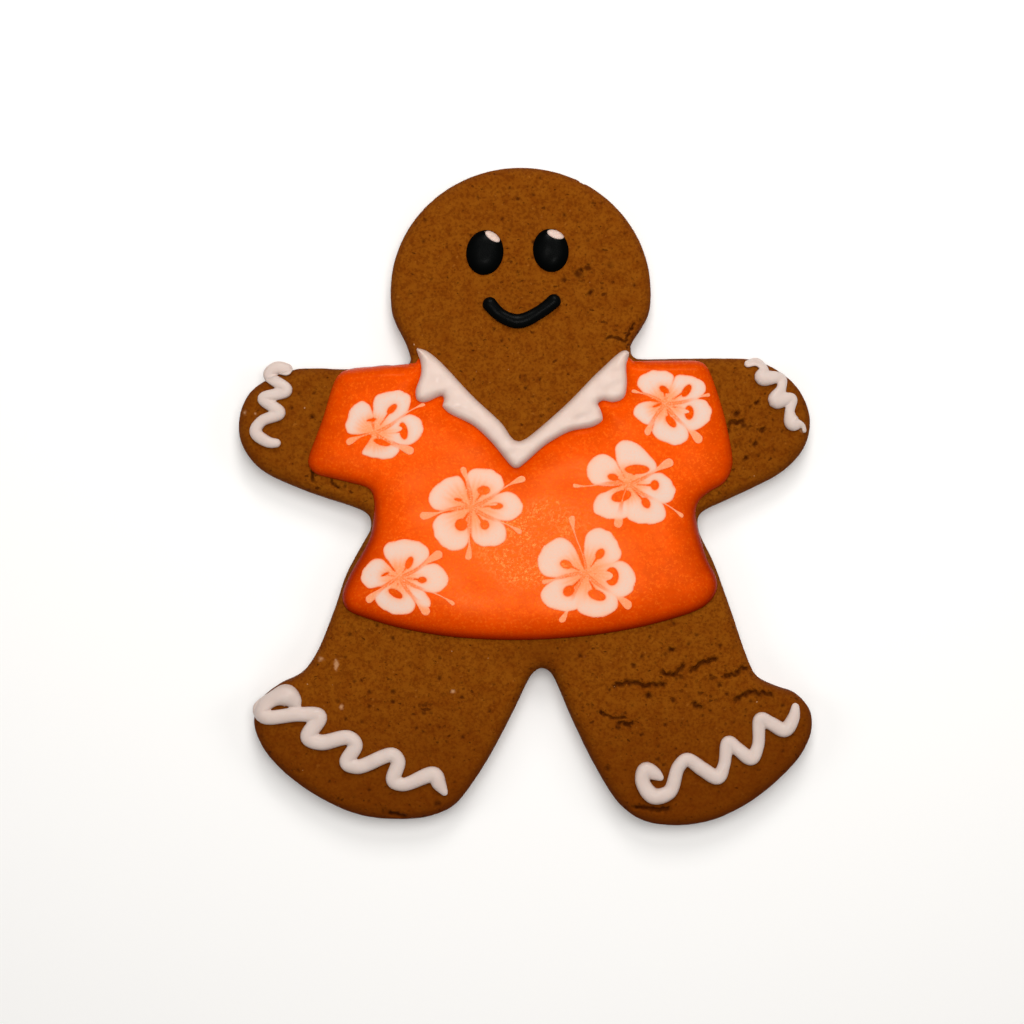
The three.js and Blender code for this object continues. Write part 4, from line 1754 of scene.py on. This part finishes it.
FLOWERS = (
    Flower("flower_1", (-29.1, 12.2),
           ((138, 6.2, 6.6, -0.3), (59, 9.4, 6.4, -0.5), (5, 9.4, 5.6, 0.2), (-70, 5.2, 6.8, 0.4)),
           ((200, 5.7, 1.3), (-28, 8.4, 1.6), (30, 11.2, 0.7)),
           ((3.4, 4.6, 2.5, 1.3, 45), (5.6, 0.4, 3.4, 1.7, 100), (1.5, -1.8, 3.4, 1.3, -15),
            (-0.5, 2.5, 2, 0.6, 10)),
           ((3.1, 0.7, 4.6, 1.5, 4),)),
    Flower("flower_2", (26.7, 17.8),
           ((113, 6.8, 6.8, 0.2), (36, 8, 5.8, -0.5), (-20, 9, 6.2, 0.2), (-80, 7.9, 6.6, 0.4),
            (-151, 6, 4.8, -0.3)),
           ((-123, 7, 1.3), (-48, 10.1, 1.7), (10, 8.8, 0.7), (157, 6.9, 0.7)),
           ((-0.2, 2.7, 2.1, 1.3, -35), (4.1, 2.5, 2.8, 1.5, 55), (4.6, -1.7, 2.8, 1.8, 90),
            (1.1, -3.4, 2.8, 1.5, -50), (-1.5, -0.3, 2, 0.6, 20)),
           ((2.8, -1.3, 3.7, 1, -8),)),
    Flower("flower_3", (-10.4, -2),
           ((150, 8, 7.6, 0.3), (63, 8, 7.2, -0.2), (1, 9.7, 5.4, 0), (-57, 8.8, 6.3, 0.3),
            (-130, 9.3, 7.6, 0.1)),
           ((101, 7.9, 1.2), (29, 11.7, 1.3), (-28, 10.8, 1), (-95, 10.2, 1.3), (189, 10.1, 1.5)),
           ((-2.6, 1.4, 1.6, 0.7, -10), (2.3, 3.2, 2.5, 1.8, 0), (4.7, 0.2, 2.7, 1.3, 0),
            (2.5, -3.4, 1.8, 1.9, 0), (-2, -3.4, 2.5, 2.4, 0)),
           ((4.1, 0.5, 1.8, 0.5, 5),), haze=6 * MM),
    Flower("flower_4", (19.6, 2.4),
           ((152, 8.5, 6, 0), (72, 7.6, 8.6, 0.4), (-7, 9, 5.6, -0.3), (-58, 9, 7, 0.5),
            (-124, 7.8, 7, -0.4)),
           ((26, 9.7, 1.7), (-30, 12.3, 0.8), (-106, 8.6, 1.7), (181, 10.6, 0.8)),
           ((-2.9, 1.3, 2.2, 1.4, -15), (1.7, 2.8, 4.8, 1.9, 0), (5.1, -0.2, 2, 1.7, 90),
            (3.4, -3.6, 2.3, 1.6, -60), (-1.3, -2.3, 4, 2.2, 15)),
           ((0.8, 1.3, 2.6, 0.8, 10), (2.5, 0.4, 3.4, 0.9, -8))),
    Flower("flower_5", (-24.2, -15.5),
           ((76, 7.4, 8.6, -0.2), (170, 7.2, 5.6, 0.3), (-101, 7, 7.7, 0.1), (-1, 9.2, 5.4, -0.1),
            (-44, 8, 2.3, 0)),
           ((29, 9.4, 1.7), (-26, 11.7, 0.8), (-54, 9, 1.7), (214, 7.9, 1.5)),
           ((1.8, 2.8, 2.6, 1.4, 65), (-2.8, 0.6, 1.7, 0.6, 25), (-0.8, -3.1, 3.1, 1.5, -30),
            (4.3, -0.5, 1.8, 1.3, 0)),
           ((-0.5, -1.9, 2.9, 0.9, -25),)),
    Flower("flower_6", (11.5, -14.7),
           ((152, 9.6, 8, 0.1), (57, 9, 7.6, 0.2), (-10, 9.6, 6.8, -0.1), (-69, 8.9, 7.8, 0.2),
            (-136, 9.5, 7.2, -0.4)),
           ((104, 11.4, 1.2), (-38, 10.9, 1.7), (-118, 10.6, 1.2), (190, 8.6, 0.9)),
           ((-3.8, 1.7, 2.4, 1.7, -20), (2.7, 3.7, 2.3, 1.6, 55), (5, -0.6, 3.6, 2.6, 90),
            (2.1, -4.2, 3.6, 2, -20), (-3.3, -3.4, 2.4, 2, 40)),
           ((3.4, -0.5, 3.6, 1.9, 0),), haze=5.4 * MM),
)


# ---------------------------------------------------------------- the studio


@dataclass(frozen=True)
class Lamp:
    """A square soft light that looks at the middle of the cookie."""

    name: str
    place: tuple[float, float, float]
    width: float
    power: float
    tint: tuple[float, float, float] = (1.0, 0.98, 0.95)
    glints: bool = True

    def build(self) -> None:
        """Makes the light."""
        light = bpy.data.lights.new(self.name, "AREA")
        light.size = self.width
        light.energy = self.power
        light.color = self.tint
        lamp = add_object(self.name, light)
        lamp.location = self.place
        lamp.rotation_euler = (-Vector(self.place)).to_track_quat("-Z", "Y").to_euler()
        lamp.visible_glossy = self.glints


@dataclass
class Studio:
    """The pale floor, the lights and the camera straight above."""

    floor_size: float = 4.0
    floor_tone: Colour = (0.95, 0.95, 0.95, 1.0)
    cloudy_tone: Colour = (0.9405, 0.9405, 0.9405, 1.0)
    air: float = 0.05
    lens: float = 85.0
    film: float = 36.0
    shown: float = 197.1 * MM
    aim: tuple[float, float] = (-2.6 * MM, -3.0 * MM)
    lamps: tuple[Lamp, ...] = (
        Lamp("overhead", (0.02, 0.1, 0.5), 0.3, 1.65, glints=False),
        Lamp("head_side", (0.03, 0.42, 0.42), 0.2, 1.2),
        Lamp("left_side", (-0.5, 0.02, 0.42), 0.25, 0.55, glints=False),
        Lamp("right_side", (0.5, 0.04, 0.42), 0.25, 0.6, glints=False),
        Lamp("foot_side", (0.0, -0.5, 0.42), 0.25, 0.25, glints=False),
        Lamp("spark", (0.0024, -0.0138, 0.47), 0.02, 0.24),
    )

    def build(self) -> None:
        """Makes the floor, the lights, the world and the camera."""
        self.lay_floor()
        for lamp in self.lamps:
            lamp.build()
        world = bpy.data.worlds.new("air")
        world.use_nodes = True
        glow = world.node_tree.nodes["Background"]
        glow.inputs["Color"].default_value = (1, 1, 1, 1)
        glow.inputs["Strength"].default_value = self.air
        bpy.context.scene.world = world
        bpy.context.scene.view_settings.view_transform = "Standard"
        self.hang_camera()

    def lay_floor(self) -> None:
        """Makes the floor."""
        half = self.floor_size / 2
        mesh = bpy.data.meshes.new("floor")
        corners = [(-half, -half, 0), (half, -half, 0), (half, half, 0), (-half, half, 0)]
        mesh.from_pydata(corners, [], [(0, 1, 2, 3)])
        floor = add_object("floor", mesh)
        shade = Shade("floor")
        soft = shade.span(shade.noise(0.3, 2), 0.3, 0.7)
        tone = shade.mix(soft, self.floor_tone, self.cloudy_tone)
        shade.set(Base_Color=tone, Roughness=0.9, Specular_IOR_Level=0.1)
        mesh.materials.append(shade.material)

    def hang_camera(self) -> None:
        """Hangs the camera above the cookie so that it takes in the width shown."""
        camera = bpy.data.cameras.new("camera")
        camera.lens = self.lens
        camera.sensor_width = self.film
        camera.clip_start = 0.01
        holder = add_object("camera", camera)
        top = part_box("cookie")[1][2]
        holder.location = (*self.aim, top + self.shown * self.lens / self.film)
        bpy.context.scene.camera = holder


# ---------------------------------------------------------------- the cookie


@dataclass
class Cookie:
    """The whole gingerbread man."""

    pantry: Pantry = field(default_factory=Pantry)
    biscuit: Biscuit = field(default_factory=Biscuit)
    left_eye: tuple[float, float] = (-7.9, 47)

    def build(self) -> None:
        """Makes every piece of the cookie."""
        collar = Pool("collar", 1.5 * MM, 0.24 * MM, 0.25 * MM, crown=0.2,
                      waves=Ripple(3 * MM, 0.06 * MM, 7))
        # deep_rim carries the edge's painted shade further in on the shirt.
        shirt = Pool("shirt", 2.4 * MM, 0.34 * MM, 0.35 * MM, crown=0.35, deep_rim=0.55,
                     sink=0.4 * MM)
        shirt.tuck_under(collar, 0.5 * MM, 1.0 * MM)
        brown = self.pantry.get(Finish.GINGERBREAD)
        whole = self.biscuit.build(shirt.measure, brown)
        crumbs = Crumbs().build(whole, brown)
        self.pantry.dress(whole, Finish.GINGERBREAD, "cookie")
        self.pantry.dress(crumbs, Finish.GINGERBREAD)
        base = self.biscuit.height

        def evened(xy: np.ndarray) -> np.ndarray:
            """Height of the biscuit once runny icing has filled its dents."""
            return self.biscuit.height(xy, even=True)

        self.pantry.dress(shirt.build("icing_shirt", evened), Finish.SHIRT, "shirt")
        self.pantry.dress(collar.build("icing_collar", base), Finish.WHITE, "collar")
        self.add_trim()
        self.add_face()
        on_shirt = shirt.surface(evened)
        low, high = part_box("eye_left")
        origin = (np.array(low) + np.array(high))[:2] / 2 - np.array(self.left_eye) * MM
        for flower in FLOWERS:
            self.pantry.dress(flower.build(origin, on_shirt), Finish.PETAL, flower.node)

    def add_trim(self) -> None:
        """Pipes the zigzags at the wrists and feet."""
        white = self.pantry.get(Finish.WHITE)
        for piping in TRIM:
            piece = piping.build(self.biscuit.height, white)
            self.pantry.dress(piece, Finish.WHITE, piping.node)

    def add_face(self) -> None:
        """Makes the eyes with their glints, and the smile."""
        black = self.pantry.get(Finish.BLACK)
        base = self.biscuit.height
        self.pantry.dress(SMILE.build(base, black), Finish.BLACK, SMILE.node)
        for side in ("left", "right"):
            eye = Pool(f"eye_{side}", 2.6 * MM, 0.2 * MM, 0.2 * MM)
            self.pantry.dress(eye.build(f"icing_eye_{side}", base), Finish.BLACK, eye.node)
            # deep_rim spreads the rim's painted shade over most of the glint.
            glint = Pool(f"eye_glint_{side}", 0.7 * MM, 0.14 * MM, 0.12 * MM,
                         waves=Ripple(2 * MM, 0.02 * MM, 5), dimple=0.45 * MM, deep_rim=0.8)
            piece = glint.build(f"icing_glint_{side}", eye.surface(base))
            self.pantry.dress(piece, Finish.WHITE, glint.node)


def main() -> None:
    """Builds the cookie and the studio."""
    logging.basicConfig(level=logging.INFO, format="%(message)s")
    Cookie().build()
    Studio().build()


if __name__ == "__main__":
    main()
